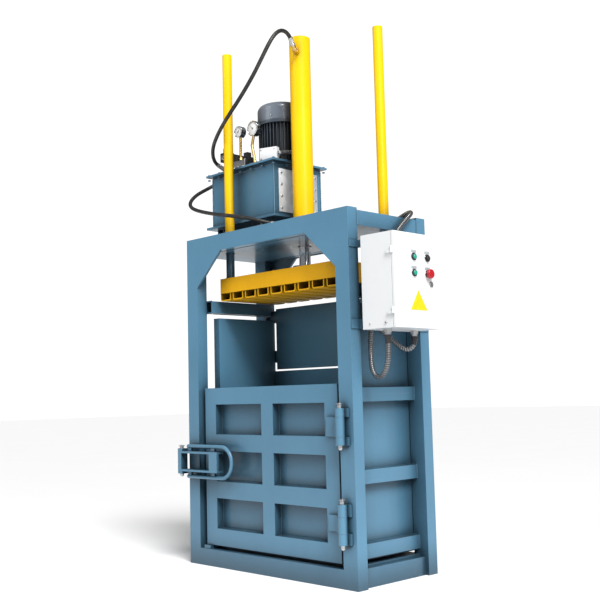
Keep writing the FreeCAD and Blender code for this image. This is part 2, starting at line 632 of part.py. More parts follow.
def control_door():
    y0, y1 = BOX_Y
    z0, z1 = BOX_Z
    xa, xb = BOX_DOOR_X
    tray = box(xa, xb, y0, y1, z0, z1).cut(box(xa - 1, xb - 2, y0 + 2, y1 - 2, z0 + 2, z1 - 2))
    knobs = []
    for z in BOX_HINGES:
        leaf = box(xa + 2, HINGE_PIN_X, y0 - 8, y0 + 1, z + 0.4, z + 14)
        knob = rod(6, (HINGE_PIN_X, y0 - 6, z + 0.4), 13.6)
        knobs += [leaf, knob]
    holes = [rod(2.5 + RUN_GAP, (HINGE_PIN_X, y0 - 6, z), 15) for z in BOX_HINGES]
    holes += [rod(COLLAR_R - 3.8, (xa - 5, y, z), 30, Vec(1, 0, 0)) for y in BUTTON_Y for z in BUTTON_Z]
    holes.append(rod(8 + RUN_GAP, (xa - 5, *LOCK_YZ), 30, Vec(1, 0, 0)))
    save("enclosure_door", fuse(tray, *knobs).cut(holes))
    collars = []
    for y in BUTTON_Y:
        for z in BUTTON_Z:
            flange = rod(COLLAR_R, (xb, y, z), 6, Vec(1, 0, 0))
            barrel = rod(COLLAR_R - 3.8, (xb - 26, y, z), 26, Vec(1, 0, 0))
            collars.append(fuse(flange, barrel).cut(rod(BUTTON_R + RUN_GAP, (xb - 30, y, z), 40, Vec(1, 0, 0))))
    save("button_collars", collars)
    names = {(0, 1): "button_green_upper", (0, 0): "button_green_lower", (1, 1): "button_black"}
    for (col, row), name in names.items():
        plunger = rod(BUTTON_R, (xb - 16, BUTTON_Y[col], BUTTON_Z[row]), 28, Vec(1, 0, 0))
        crown = [e for e in plunger.Edges if abs(e.BoundBox.XMin - (xb + 12)) < 0.01]
        save(name, plunger.makeChamfer(1.2, crown))
    y, z = BUTTON_Y[1], BUTTON_Z[0]
    stem = rod(BUTTON_R, (xb - 16, y, z), 28, Vec(1, 0, 0))
    head = rod(20, (xb + 12, y, z), 13, Vec(1, 0, 0))
    rim = [e for e in head.Edges if abs(e.BoundBox.XMin - (xb + 25)) < 0.01]
    save("emergency_stop", fuse(stem, head.makeFillet(5, rim)))
    y, z = LOCK_YZ
    barrel = rod(8, (xb - 28, y, z), 28, Vec(1, 0, 0))
    face = rod(11, (xb + 0.3, y, z), 4, Vec(1, 0, 0))
    neck = rod(8, (xb, y, z), 0.3, Vec(1, 0, 0))
    cam = box(xb - 28, xb - 25, y - 8, y + 24, z - 8, z + 8)
    slot = box(xb + 3, xb + 6, y - 1.2, y + 1.2, z - 6, z + 6)
    save("enclosure_lock", fuse(barrel, neck, face, cam).cut(slot))


def brackets():
    """Cranked flat straps that stand the control box off the right-hand posts."""
    side = FRAME_W / 2
    back = BOX_X[0]
    t = 4.0
    straps = []
    for z0, z1 in ((1078, 1118), (1426, 1456)):
        straps.append(fuse(box(side, side + t, -257, -206, z0, z1), box(side, back, -210, -206, z0, z1),
                           box(back - t, back, -210, -170, z0, z1)))
        straps.append(fuse(box(side, side + t, 66, 257, z0, z1), box(side, back, 66, 70, z0, z1),
                           box(back - t, back, 30, 70, z0, z1)))
    save("enclosure_brackets", straps)


# ---------------------------------------------------------------- hoses and conduits
UPPER_HOSE = [(46, -60, 2502), (53, -82, 2533), (62, -120, 2552), (70, -166, 2545), (72, -208, 2510),
              (60, -236, 2458), (30, -254, 2394), (-16, -264, 2328), (-76, -268, 2268), (-146, -262, 2220),
              (-226, -248, 2180), (-312, -222, 2146), (-396, -188, 2118), (-474, -148, 2092),
              (-534, -104, 2066), (-570, -62, 2044), (-577, -30, 2028), (-568, -4, 2014)]
LOWER_HOSE = [(-538, 56, 1988), (-574, 59, 1990), (-612, 66, 1991), (-648, 66, 1983), (-680, 48, 1965),
              (-698, 14, 1941), (-702, -30, 1916), (-696, -80, 1888), (-684, -126, 1854), (-656, -164, 1820),
              (-608, -192, 1788), (-544, -210, 1762), (-466, -220, 1738), (-380, -222, 1715),
              (-294, -214, 1696), (-212, -196, 1679), (-144, -166, 1659), (-92, -122, 1640),
              (-62, -78, 1628)]
MOTOR_CONDUIT = [(704, -190, 1044), (705, -190, 1006), (703, -190, 966), (696, -188, 930),
                 (683, -187, 900), (665, -184, 879), (643, -181, 870), (621, -178, 875), (603, -175, 892),
                 (592, -172, 920), (585, -167, 958), (580, -161, 1008), (577, -153, 1068),
                 (575, -142, 1136), (574, -126, 1208), (574, -106, 1278), (575, -80, 1346), (577, -46, 1412),
                 (579, -4, 1470), (581, 38, 1520), (583, 82, 1562), (582, 118, 1591), (576, 144, 1610),
                 (562, 160, 1620), (542, 168, 1621), (520, 170, 1617), (496, 169, 1608), (470, 164, 1596),
                 (442, 154, 1584), (412, 141, 1571), (380, 130, 1560), (344, 120, 1551), (300, 113, 1548),
                 (248, 110, 1548), (192, 111, 1549), (142, 115, 1550), (98, 121, 1552), (60, 127, 1557),
                 (28, 131, 1568), (1, 133, 1585), (-21, 132, 1610), (-37, 130, 1646), (-47, 129, 1692),
                 (-54, 130, 1746), (-58, 130, 1808), (-61, 130, 1870), (-63, 127, 1922), (-65, 116, 1962),
                 (-67, 98, 1990), (-70, 74, 2005), (-73, 48, 2010), (-78, 24, 2010), (-88, 4, 2008),
                 (-106, -8, 2007)]
SWITCH_CONDUIT = [(668, 26, 1044), (668, 24, 1023), (664, 18, 1003), (654, 9, 991), (640, -3, 989),
                  (625, -14, 998), (608, -25, 1015), (589, -38, 1038), (569, -54, 1062), (550, -71, 1087),
                  (536, -86, 1113), (532, -90, 1142)]


def bend_radius(before, here, after):
    """Radius of the tangent arc that 45 per cent of the shorter run allows, and the half turn."""
    run_in, run_out = here - before, after - here
    turn = run_in.getAngle(run_out)
    return 0.45 * min(run_in.Length, run_out.Length) / math.tan(turn / 2), turn


def cord(name, points, radius):
    """Round tube along straight runs joined by tangent arcs."""
    route = [Vec(*p) for p in points]
    edges = []
    start = route[0]
    radii = []
    for before, here, after in zip(route, route[1:], route[2:]):
        bend, turn = bend_radius(before, here, after)
        radii.append(bend)
        run_in = (here - before).normalize()
        run_out = (after - here).normalize()
        setback = bend * math.tan(turn / 2)
        arc_in = here - run_in * setback
        arc_out = here + run_out * setback
        inward = (run_out - run_in).normalize()
        middle = here + inward * (bend / math.cos(turn / 2) - bend)
        edges.append(Part.LineSegment(start, arc_in).toShape())
        edges.append(Part.Arc(arc_in, middle, arc_out).toShape())
        start = arc_out
    edges.append(Part.LineSegment(start, route[-1]).toShape())
    wire = Part.Wire(edges)
    profile = Part.Wire([Part.makeCircle(radius, route[0], route[1] - route[0])])
    tube = wire.makePipeShell([profile], True, False)
    expected = math.pi * radius ** 2 * wire.Length
    runs = [(b - a).Length for a, b in zip(route, route[1:])]
    print("%s length %.0f, runs %s" % (name, wire.Length, " ".join("%.0f" % r for r in runs)))
    print("   radii in diameters %s; volume ratio %.4f" % (
        " ".join("%.1f" % (r / (2 * radius)) for r in radii), tube.Volume / expected))
    save(name, tube)


def nipple(inner, outer, radius, nut_flats, bore=0.0):
    """Round stub from one point to another with a hexagon nut in its middle."""
    start, end = Vec(*inner), Vec(*outer)
    axis = end - start
    stub = Part.makeCylinder(radius, axis.Length + FACING, start, axis)
    nut = hexagon(0, 0, 0, nut_flats, axis.Length * 0.4)
    nut.Placement = FreeCAD.Placement(start + axis * 0.3, FreeCAD.Rotation(Z_AXIS, axis))
    body = fuse(stub, nut)
    if bore:
        body = body.cut(Part.makeCylinder(bore, axis.Length, start, axis))
    return body


def elbow(inner, corner, outer):
    """Swept hose end: a nut on the port, a round corner and a plain tail that takes the hose."""
    tail = outer - corner
    return fuse(nipple(tuple(inner), tuple(corner), 11, 27), Part.makeSphere(12, corner),
                Part.makeCylinder(11, tail.Length + FACING, corner, tail))


def faced(piece, face, beyond):
    """Fitting cut off square at a face, so that it and what lies beyond meet without sharing space."""
    away = Vec(*beyond) - Vec(*face)
    return piece.cut(Part.makeCylinder(30, away.Length, Vec(*face), away))


def fittings():
    """Hose ends and gauge stems, each a separate turned piece."""
    pieces = []
    top_start = Vec(0, RAM_Y, TOP_PORT_Z) + TOP_PORT * (RAM_TUBE_R + 18)
    top_end = elbow(top_start, top_start + TOP_PORT * 17, Vec(*UPPER_HOSE[0]))
    pieces.append(faced(top_end, UPPER_HOSE[0], UPPER_HOSE[1]))
    port = Vec(0, RAM_Y, LOW_PORT_Z) + LOW_PORT * (RAM_TUBE_R + 18)
    low_end = faced(nipple(port - LOW_PORT * FACING, LOWER_HOSE[-1], 11, 27), LOWER_HOSE[-1], LOWER_HOSE[-2])
    pieces.append(faced(low_end, port, port - LOW_PORT * 12))
    block_end = elbow(Vec(-512, 14, 2004), Vec(-560, 14, 2004), Vec(*UPPER_HOSE[-1]))
    pieces.append(faced(block_end, UPPER_HOSE[-1], UPPER_HOSE[-2]))
    pieces.append(faced(nipple((-512, 56, 1988), LOWER_HOSE[0], 11, 24), LOWER_HOSE[0], LOWER_HOSE[1]))
    lid = TANK_Z[1] + LID_T
    cases = [rod(radius, (x, y + 15, z), 30, Vec(0, -1, 0)) for (x, y, z), radius in zip(GAUGES, GAUGE_R)]
    foot, knee, top = (Vec(*p) for p in GAUGE_PIPE)
    bent = fuse(Part.makeCylinder(7, (knee - foot).Length, foot, knee - foot), Part.makeSphere(7, knee),
                hexagon(foot.x, foot.y, lid, 24, 16), Part.makeCylinder(7, (top - knee).Length, knee, top - knee))
    pieces.append(faced(bent, foot, foot - Z_AXIS * 12).cut(cases[0]))
    x, y, z = GAUGES[1]
    stem = rod(7, (x, y, lid + 56), z - lid - 56).fuse(hexagon(x, y, lid + 70, 18, 14))
    pieces.append(stem.cut(cases[1]))
    save("hydraulic_fittings", pieces)


def glands():
    """Cable glands on the control box, the motor's terminal box and the limit switch, with that switch."""
    z0 = BOX_Z[0]
    pieces = []
    for (x, y), line in zip(GLANDS, (MOTOR_CONDUIT, SWITCH_CONDUIT)):
        gland = nipple((x, y, z0 + 10), (x, y, z0 - 26), 8, 30).fuse(rod(13, (x, y, z0 - 28), 18))
        pieces.append(faced(gland, line[0], line[1]))
    turn = math.radians(TERMINAL_TURN)
    side = Vec(-math.sin(turn), math.cos(turn), 0)
    out = Vec(math.cos(turn), math.sin(turn), 0)
    start = Vec(MOTOR_X, MOTOR_Y, TANK_Z[1] + LID_T + 37) + out * 143 + side * 48
    gland = nipple(start - side * FACING, MOTOR_CONDUIT[-1], 11, 27)
    pieces.append(faced(faced(gland, MOTOR_CONDUIT[-1], MOTOR_CONDUIT[-2]), start, start - side * 20))
    switch_x = CHAMBER_HALF + 7 + UPPER_RAIL
    switch = box(switch_x, switch_x + 45, -112, -72, 1184, 1264)
    save("limit_switch", fuse(switch, rod(6, (switch_x + 25, -92, 1264), 30)))
    gland = nipple((switch_x + 32, -90, 1184), SWITCH_CONDUIT[-1], 11, 27)
    pieces.append(faced(gland, SWITCH_CONDUIT[-1], SWITCH_CONDUIT[-2]))
    save("conduit_glands", pieces)


def build():
    os.makedirs("parts", exist_ok=True)
    corner_posts()
    base_frame()
    chamber_floor()
    top_of_frame()
    chamber_walls()
    chamber_back()
    door_hinges()
    door()
    latch()
    press_cylinder()
    guides()
    platen()
    ram()
    tank()
    motor()
    pump()
    valve_group()
    control_box()
    fittings()
    glands()
    cord("hose_upper", UPPER_HOSE, HOSE_R)
    cord("hose_lower", LOWER_HOSE, HOSE_R)
    cord("conduit_motor", MOTOR_CONDUIT, CONDUIT_R)
    cord("conduit_switch", SWITCH_CONDUIT, CONDUIT_R)


build()
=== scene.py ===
"""Vertical recycling baler: finishes, hoses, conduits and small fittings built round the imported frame."""
import json
import math

import bmesh
import bpy
from bpy.props import FloatProperty, FloatVectorProperty, PointerProperty
from mathutils import Matrix, Vector


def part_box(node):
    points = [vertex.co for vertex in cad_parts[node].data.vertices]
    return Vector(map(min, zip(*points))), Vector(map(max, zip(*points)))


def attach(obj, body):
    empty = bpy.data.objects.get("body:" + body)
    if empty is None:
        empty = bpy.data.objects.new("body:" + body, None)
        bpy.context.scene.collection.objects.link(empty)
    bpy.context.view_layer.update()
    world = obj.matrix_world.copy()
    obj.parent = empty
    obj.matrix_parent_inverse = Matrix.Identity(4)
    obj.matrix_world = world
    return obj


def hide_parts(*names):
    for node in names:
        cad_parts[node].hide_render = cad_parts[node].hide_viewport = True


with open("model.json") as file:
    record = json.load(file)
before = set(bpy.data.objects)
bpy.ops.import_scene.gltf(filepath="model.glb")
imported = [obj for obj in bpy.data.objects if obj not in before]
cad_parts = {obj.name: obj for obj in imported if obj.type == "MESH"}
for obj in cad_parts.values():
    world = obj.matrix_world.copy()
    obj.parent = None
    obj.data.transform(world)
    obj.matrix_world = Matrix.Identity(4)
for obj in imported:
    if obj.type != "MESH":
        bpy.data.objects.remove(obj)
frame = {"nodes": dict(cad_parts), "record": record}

bl_info = {
    "name": "Recycling Baler Dressing",
    "version": (1, 0, 0),
    "blender": (4, 5, 0),
    "location": "View3D > Sidebar > Baler",
    "description": "Dresses the packed baler with finishes, hoses, conduits, welds and fasteners",
    "category": "Object",
}

MM = 0.001
X = Vector((1, 0, 0))
Y = Vector((0, 1, 0))
Z = Vector((0, 0, 1))
FULL_TURN = 2 * math.pi
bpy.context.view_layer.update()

# Places and sizes in metres that the boxes of the frame's solids don't give.
# A pair is (x, y), or (y, z) on the control box's door, unless its name says more.
SIDE_SKIN_X = 0.475
POST_KNUCKLE_X = (0.5, 0.53)
POST_FRONT_Y = -0.2605
RAM_AXIS = (0.0, 0.03)
RAM_RADIUS = 0.052
GUIDE_TUBES = ((-0.38, -0.124), (0.38, 0.184))
GUIDE_RADIUS = 0.025
TANK_LOW, TANK_HIGH = (-0.59, -0.06), (-0.112, 0.264)
TANK_LIP = 0.012
COVER_Y = (-0.03, 0.236)
MOTOR_AXIS = Vector((-0.222, 0.1, 0.0))
MOTOR_BOLT_CIRCLE = 0.106
COWL_RADIUS = 0.1205
TERMINAL_TURN = math.radians(-69)
TERMINAL_FACE = 0.158
BOX_Y = (-0.225, 0.075)
SEAL_X = (0.7642, 0.7658)
BUTTONS = tuple((y, z) for y in (-0.097, -0.008) for z in (1.3, 1.368))
LOCK = (0.014, 1.257)
FIELD_CORNERS = [(-0.126, 1.145), (-0.017, 1.145), (-0.0735, 1.229)]
SWITCH_COVER_Z = (1.19, 1.258)
DOOR_HALF_WIDTH, DOOR_BAR, DOOR_MIDDLE_BAR = 0.452, 0.08, 0.04
DOOR_FOOT, DOOR_HEIGHT, DOOR_ROWS = 0.098, 0.752, 3
STRAP_CHANNELS, CHANNEL_PITCH, CHANNEL_HALF = 9, 0.093, 0.039
PLATEN_TOP = 1.394


# ---------------------------------------------------------------- user settings
def colour(name, description, default):
    return FloatVectorProperty(name=name, description=description, subtype="COLOR", size=3,
                               default=default, min=0.0, max=1.0)


def distance(name, description, default):
    return FloatProperty(name=name, description=description, default=default, min=0.0,
                         subtype="DISTANCE", unit="LENGTH")


def degrees(name, description, default):
    return FloatProperty(name=name, description=description, default=math.radians(default),
                         subtype="ANGLE")


def strength(name, description, default):
    return FloatProperty(name=name, description=description, default=default, min=0.0)


def power(name, description, default):
    return FloatProperty(name=name, description=description, default=default, min=0.0,
                         subtype="POWER", unit="POWER")


class BalerPaint(bpy.types.PropertyGroup):
    """Colours of the painted and moulded surfaces."""

    frame_colour: colour("Frame", "Blue-grey enamel of the welded frame", (0.088, 0.222, 0.338))
    tube_colour: colour("Tubes", "Yellow enamel of the ram and the guide tubes", (0.95, 0.56, 0.0))
    platen_colour: colour("Platen", "Orange-yellow enamel of the platen", (0.82, 0.42, 0.003))
    motor_colour: colour("Motor", "Dark enamel of the motor's fins", (0.045, 0.062, 0.085))
    cowl_colour: colour("Cowl", "Grey enamel of the fan cowl", (0.15, 0.18, 0.225))
    box_colour: colour("Control box", "White powder coat", (0.72, 0.735, 0.745))
    edge_wear: FloatProperty(name="Edge wear", description="How far the paint is worn along its edges",
                             default=0.5, min=0.0, max=1.0, subtype="FACTOR")
    edge_radius: distance("Edge radius", "Rounding of folded and cut edges", 0.0022)


class BalerLines(bpy.types.PropertyGroup):
    """Sizes of the hoses and the spiral conduits."""

    hose_radius: distance("Hose radius", "Outside radius of the hydraulic hoses", 0.0095)
    conduit_radius: distance("Conduit radius", "Outside radius of the spiral conduits", 0.011)
    conduit_pitch: distance("Conduit pitch", "Length of one turn of the spiral strip", 0.0095)
    conduit_groove: distance("Conduit groove", "Depth of the groove between turns", 0.0014)


class BalerStage(bpy.types.PropertyGroup):
    """Camera and studio light."""

    camera_place: FloatVectorProperty(name="Camera", description="Where the camera stands", size=3,
                                      default=(3.273, -3.171, 0.798), subtype="XYZ", unit="LENGTH")
    camera_turn: degrees("Turn", "Angle of the view about the vertical", 46.0)
    camera_tilt: degrees("Tilt", "Angle of the view above the horizon", 5.81)
    camera_roll: degrees("Roll", "Roll of the camera about its view", -1.42)
    camera_lens: FloatProperty(name="Lens", description="Focal length in millimetres on a 36 mm sensor",
                               default=57.02, min=1.0)
    sky: strength("Sky", "Strength of the even white surroundings", 0.22)
    backdrop: strength("Backdrop", "How bright the surroundings look behind the baler", 1.08)
    key: strength("Key", "Strength of the broad light from the right", 3.45)
    key_spread: degrees("Key spread", "Width of the key light in the sky, which softens shadows", 24.0)
    strip: power("Strip", "Power of the panel that draws highlights down the tubes", 45.0)
    fill: power("Fill", "Power of the panel in front on the left", 42.0)


# ---------------------------------------------------------------- shader graphs
class Signal:
    """A shader socket that can stand in arithmetic; every operator adds its Math node."""

    def __init__(self, graph, socket):
        self.graph = graph
        self.socket = socket

    def _math(self, operation, first, second):
        return self.graph.node("ShaderNodeMath", {"operation": operation}, {0: first, 1: second})

    def __add__(self, other):
        return self._math("ADD", self, other)

    def __radd__(self, other):
        return self._math("ADD", other, self)

    def __sub__(self, other):
        return self._math("SUBTRACT", self, other)

    def __rsub__(self, other):
        return self._math("SUBTRACT", other, self)

    def __mul__(self, other):
        return self._math("MULTIPLY", self, other)

    def __rmul__(self, other):
        return self._math("MULTIPLY", other, self)

    def __truediv__(self, other):
        return self._math("DIVIDE", self, other)

    def wave(self):
        """Sine of this value, in radians."""
        return self._math("SINE", self, 0.0)

    def step(self, low, high):
        """0 below low, 1 above high and a smooth rise between."""
        return self.graph.node("ShaderNodeMapRange", {"interpolation_type": "SMOOTHSTEP"},
                               {"Value": self, "From Min": low, "From Max": high})


class Graph:
    """The node tree of one finish, or of the world."""

    def __init__(self, owner):
        self.owner = owner
        owner.use_nodes = True
        self.tree = owner.node_tree
        self.tree.nodes.clear()

    def node(self, kind, settings=None, inputs=None, output=0):
        """Add a node: its settings first, then the values or links of its sockets.

        Returns the named or numbered output, or nothing for a node that has none.
        """
        node = self.tree.nodes.new(kind)
        for key, value in (settings or {}).items():
            setattr(node, key, value)
        for key, value in (inputs or {}).items():
            if isinstance(value, Signal):
                self.tree.links.new(value.socket, node.inputs[key])
            else:
                node.inputs[key].default_value = value
        return Signal(self, node.outputs[output]) if node.outputs else None

    def place(self, stretch=(1, 1, 1)):
        """Position on the piece in metres, with each axis scaled by stretch."""
        here = self.node("ShaderNodeTexCoord", output="Object")
        if tuple(stretch) == (1, 1, 1):
            return here
        return self.node("ShaderNodeVectorMath", {"operation": "MULTIPLY"}, {0: here, 1: stretch})

    def noise(self, scale, stretch=(1, 1, 1), detail=2.0, roughness=0.5):
        return self.node("ShaderNodeTexNoise", None, {
            "Vector": self.place(stretch), "Scale": scale, "Detail": detail, "Roughness": roughness})

    def mix(self, factor, first, second):
        """Colour between first and second."""
        return self.node("ShaderNodeMix", {"data_type": "RGBA"}, {0: factor, 6: first, 7: second}, 2)

    def edges(self, radius):
        """(rounded normal, mask that is 1 along convex and concave edges)"""
        rounded = self.node("ShaderNodeBevel", {"samples": 4}, {"Radius": radius})
        flat = self.node("ShaderNodeNewGeometry", output="Normal")
        alike = self.dot(rounded, flat)
        return rounded, (1.0 - alike).step(0.03, 0.22)

    def dot(self, first, second):
        return self.node("ShaderNodeVectorMath", {"operation": "DOT_PRODUCT"}, {0: first, 1: second},
                         "Value")

    def bump(self, height, depth, normal=None):
        inputs = {"Height": height, "Distance": depth, "Strength": 1.0}
        if normal is not None:
            inputs["Normal"] = normal
        return self.node("ShaderNodeBump", None, inputs)

    def surface(self, **inputs):
        """Close the graph with the surface shader; underscores in names stand for spaces."""
        sockets = {key.replace("_", " "): value for key, value in inputs.items()}
        shader = self.node("ShaderNodeBsdfPrincipled", None, sockets)
        self.node("ShaderNodeOutputMaterial", None, {"Surface": shader})
        return self.owner


def finish_graph(name):
    """An empty graph in a new material."""
    return Graph(bpy.data.materials.new(name))


DUST = (0.42, 0.41, 0.38, 1.0)
BARE_STEEL = (0.42, 0.44, 0.46)
RUBBED_COAT = (0.55, 0.56, 0.57, 1.0)
RUBBER = (0.012, 0.0115, 0.011, 1.0)
OILY_RUBBER = (0.03, 0.029, 0.027, 1.0)
SCUFFED_RUBBER = (0.16, 0.155, 0.15, 1.0)
ZINC_DARK, ZINC_LIGHT, ZINC_DULL = (0.2, 0.205, 0.21, 1.0), (0.42, 0.43, 0.44, 1.0), (0.1, 0.1, 0.105, 1.0)
# Near-black painted shade for the grooves between the turns of the spiral conduit.
GROOVE_SHADE = (0.008, 0.008, 0.009, 1.0)
FLOOR_LOW, FLOOR_HIGH = (0.93, 0.93, 0.93, 1.0), (0.96, 0.96, 0.96, 1.0)


def rgba(shade, gain=1.0):
    return tuple(min(1.0, channel * gain) for channel in shade) + (1.0,)


def upward(graph):
    """1 on faces that look up, 0 on walls and undersides."""
    normal = graph.node("ShaderNodeNewGeometry", output="Normal")
    return graph.dot(normal, Z).step(0.5, 0.95)


def enamel(name, shade, roughness=0.34, coat=0.25, worn=BARE_STEEL, dirt=0.5, texture=0.00004,
           shine=0.4):
    """Sprayed enamel: cloudy tone, runs, orange peel, dust on top faces, rubbed and chipped edges, and
    painted shade in its recesses.
    """
    paint = bpy.context.scene.baler_paint
    g = finish_graph(name)
    rounded, edge = g.edges(paint.edge_radius)
    cloud = g.noise(2.3, detail=3.0).step(0.3, 0.72)
    runs = g.noise(16.0, stretch=(1, 1, 0.09), detail=3.0).step(0.42, 0.75)
    fleck = g.noise(240.0, detail=1.0).step(0.62, 0.74)
    base = g.mix(cloud, rgba(shade, 0.93), rgba(shade, 1.06))
    base = g.mix(runs * 0.12 * dirt, base, rgba(shade, 0.62))
    base = g.mix(fleck * 0.1, base, rgba(shade, 0.8))
    dust = upward(g) * g.noise(9.0, detail=4.0).step(0.35, 0.7)
    base = g.mix(dust * 0.35 * dirt, base, DUST)
    broken = g.noise(55.0, detail=4.0, roughness=0.65).step(0.48, 0.66)
    chip = edge * broken
    base = g.mix(edge * 0.22 * paint.edge_wear, base, rgba(shade, 1.5))
    base = g.mix(chip * 0.55 * paint.edge_wear, base, rgba(worn))
    scratch = g.noise(38.0, stretch=(1, 0.12, 2.6), detail=2.0).step(0.69, 0.74)
    base = g.mix(scratch * 0.12 * dirt, base, rgba(worn))
    # Painted shade: ambient occlusion darkens the paint towards a near-black copy of itself in recesses,
    # corners and under parts.
    open_air = g.node("ShaderNodeAmbientOcclusion", {"samples": 4}, {"Distance": 0.17}, "AO")
    shaded_hollow = (1.0 - open_air).step(0.02, 0.5)
    base = g.mix(shaded_hollow * 0.9, base, rgba(shade, 0.12))
    peel = g.noise(420.0, detail=1.0)
    rough = roughness + dust * 0.22 + runs * 0.06 + chip * 0.12 + cloud * 0.05
    height = peel - chip * 0.8
    return g.surface(Base_Color=base, Roughness=rough, Coat_Weight=coat * (1.0 - chip), Coat_Roughness=0.12,
                     Specular_IOR_Level=shine, Normal=g.bump(height, texture, rounded))


def powder_coat(name, shade):
    """White powder coat with a fine leather texture and a few fingerprints."""
    g = finish_graph(name)
    rounded, edge = g.edges(0.0018)
    smear = g.noise(14.0, detail=4.0).step(0.5, 0.78)
    base = g.mix(smear * 0.25, rgba(shade), rgba(shade, 0.93))
    base = g.mix(edge * g.noise(60.0, detail=3.0).step(0.5, 0.7) * 0.3, base, RUBBED_COAT)
    grain = g.noise(900.0, detail=2.0)
    return g.surface(Base_Color=base, Roughness=0.38 + smear * 0.14, Normal=g.bump(grain, 0.00004, rounded))


def machined(name, shade, roughness=0.3, rings=0.5, tarnish=(0.3, 0.26, 0.2)):
    """Turned or milled metal: fine tool marks, uneven shine and a trace of tarnish."""
    g = finish_graph(name)
    rounded, edge = g.edges(0.0008)
    marks = g.noise(120.0, stretch=(0.35, 0.35, 14.0), detail=2.0)
    cloud = g.noise(30.0, detail=4.0).step(0.4, 0.75)
    base = g.mix(cloud * 0.4, rgba(shade), rgba(shade, 0.72))
    base = g.mix(cloud * (1.0 - edge) * 0.18, base, rgba(tarnish))
    base = g.mix(edge * 0.4, base, rgba(shade, 1.2))
    return g.surface(Base_Color=base, Metallic=1.0, Roughness=roughness + cloud * 0.16 + marks * 0.08 * rings,
                     Normal=g.bump(marks, 0.00003 * rings, rounded))


def moulded(name, shade, roughness=0.38, grain=0.00003, coat=0.0):
    """Moulded plastic with a spark-eroded grain that is rubbed smooth on its edges."""
    g = finish_graph(name)
    rounded, edge = g.edges(0.0009)
    handled = g.noise(45.0, detail=3.0).step(0.45, 0.7)
    base = g.mix(handled * 0.3, rgba(shade), rgba(shade, 1.35))
    base = g.mix(edge * 0.25, base, rgba(shade, 1.9))
    rough = roughness + handled * 0.12 - edge * 0.1
    return g.surface(Base_Color=base, Roughness=rough, Coat_Weight=coat,
                     Normal=g.bump(g.noise(1400.0, detail=1.0), grain, rounded))


def hose_cover():
    """Black rubber with the cross-hatched print that the curing wrap leaves, oily in places."""
    g = finish_graph("wrapped_hose_rubber")
    along = g.node("ShaderNodeUVMap", {"uv_map": "Along"})
    around = g.node("ShaderNodeSeparateXYZ", None, {0: along}, "X")
    length = Signal(g, around.socket.node.outputs["Y"])
    wrap_pitch, weave_pitch, weave_threads = 0.016, 0.0011, 26.0
    wrap = ((length / wrap_pitch + around) * FULL_TURN).wave()
    weave = ((length / weave_pitch - around * weave_threads) * FULL_TURN).wave() * 0.25
    oil = g.noise(20.0, detail=3.0).step(0.45, 0.7)
    base = g.mix(oil, RUBBER, OILY_RUBBER)
    scuff = g.noise(70.0, detail=4.0).step(0.6, 0.75)
    base = g.mix(scuff * 0.25, base, SCUFFED_RUBBER)
    return g.surface(Base_Color=base, Roughness=0.5 - oil * 0.2, Normal=g.bump(wrap + weave, 0.00012))


def galvanised_strip():
    """Zinc-coated steel strip: spangle, dull patches and painted shade in the grooves between the turns."""
    g = finish_graph("galvanised_spiral_strip")
    spangle = g.node("ShaderNodeTexVoronoi", None, {"Vector": g.place(), "Scale": 420.0}, "Color")
    grey = g.node("ShaderNodeSeparateColor", None, {0: spangle})
    dull = g.noise(24.0, detail=4.0).step(0.42, 0.72)
    base = g.mix(grey * 0.5, ZINC_DARK, ZINC_LIGHT)
    base = g.mix(dull * 0.5, base, ZINC_DULL)
    # Painted shade: the grooves are painted near-black and made less metallic, as deep as the Groove map
    # says.
    shaded_hollow = g.node("ShaderNodeUVMap", {"uv_map": "Groove"})
    groove = g.node("ShaderNodeSeparateXYZ", None, {0: shaded_hollow})
    base = g.mix(groove * 0.95, base, GROOVE_SHADE)
    return g.surface(Base_Color=base, Metallic=1.0 - groove * 0.5, Roughness=0.26 + dull * 0.2)


def studio_floor():
    """Matt pale floor with a barely visible trowel pattern."""
    g = finish_graph("pale_floor")
    cloud = g.noise(1.2, detail=3.0)
    base = g.mix(cloud, FLOOR_LOW, FLOOR_HIGH)
    return g.surface(Base_Color=base, Roughness=0.9, Specular_IOR_Level=0.1)


FINISHES = {}


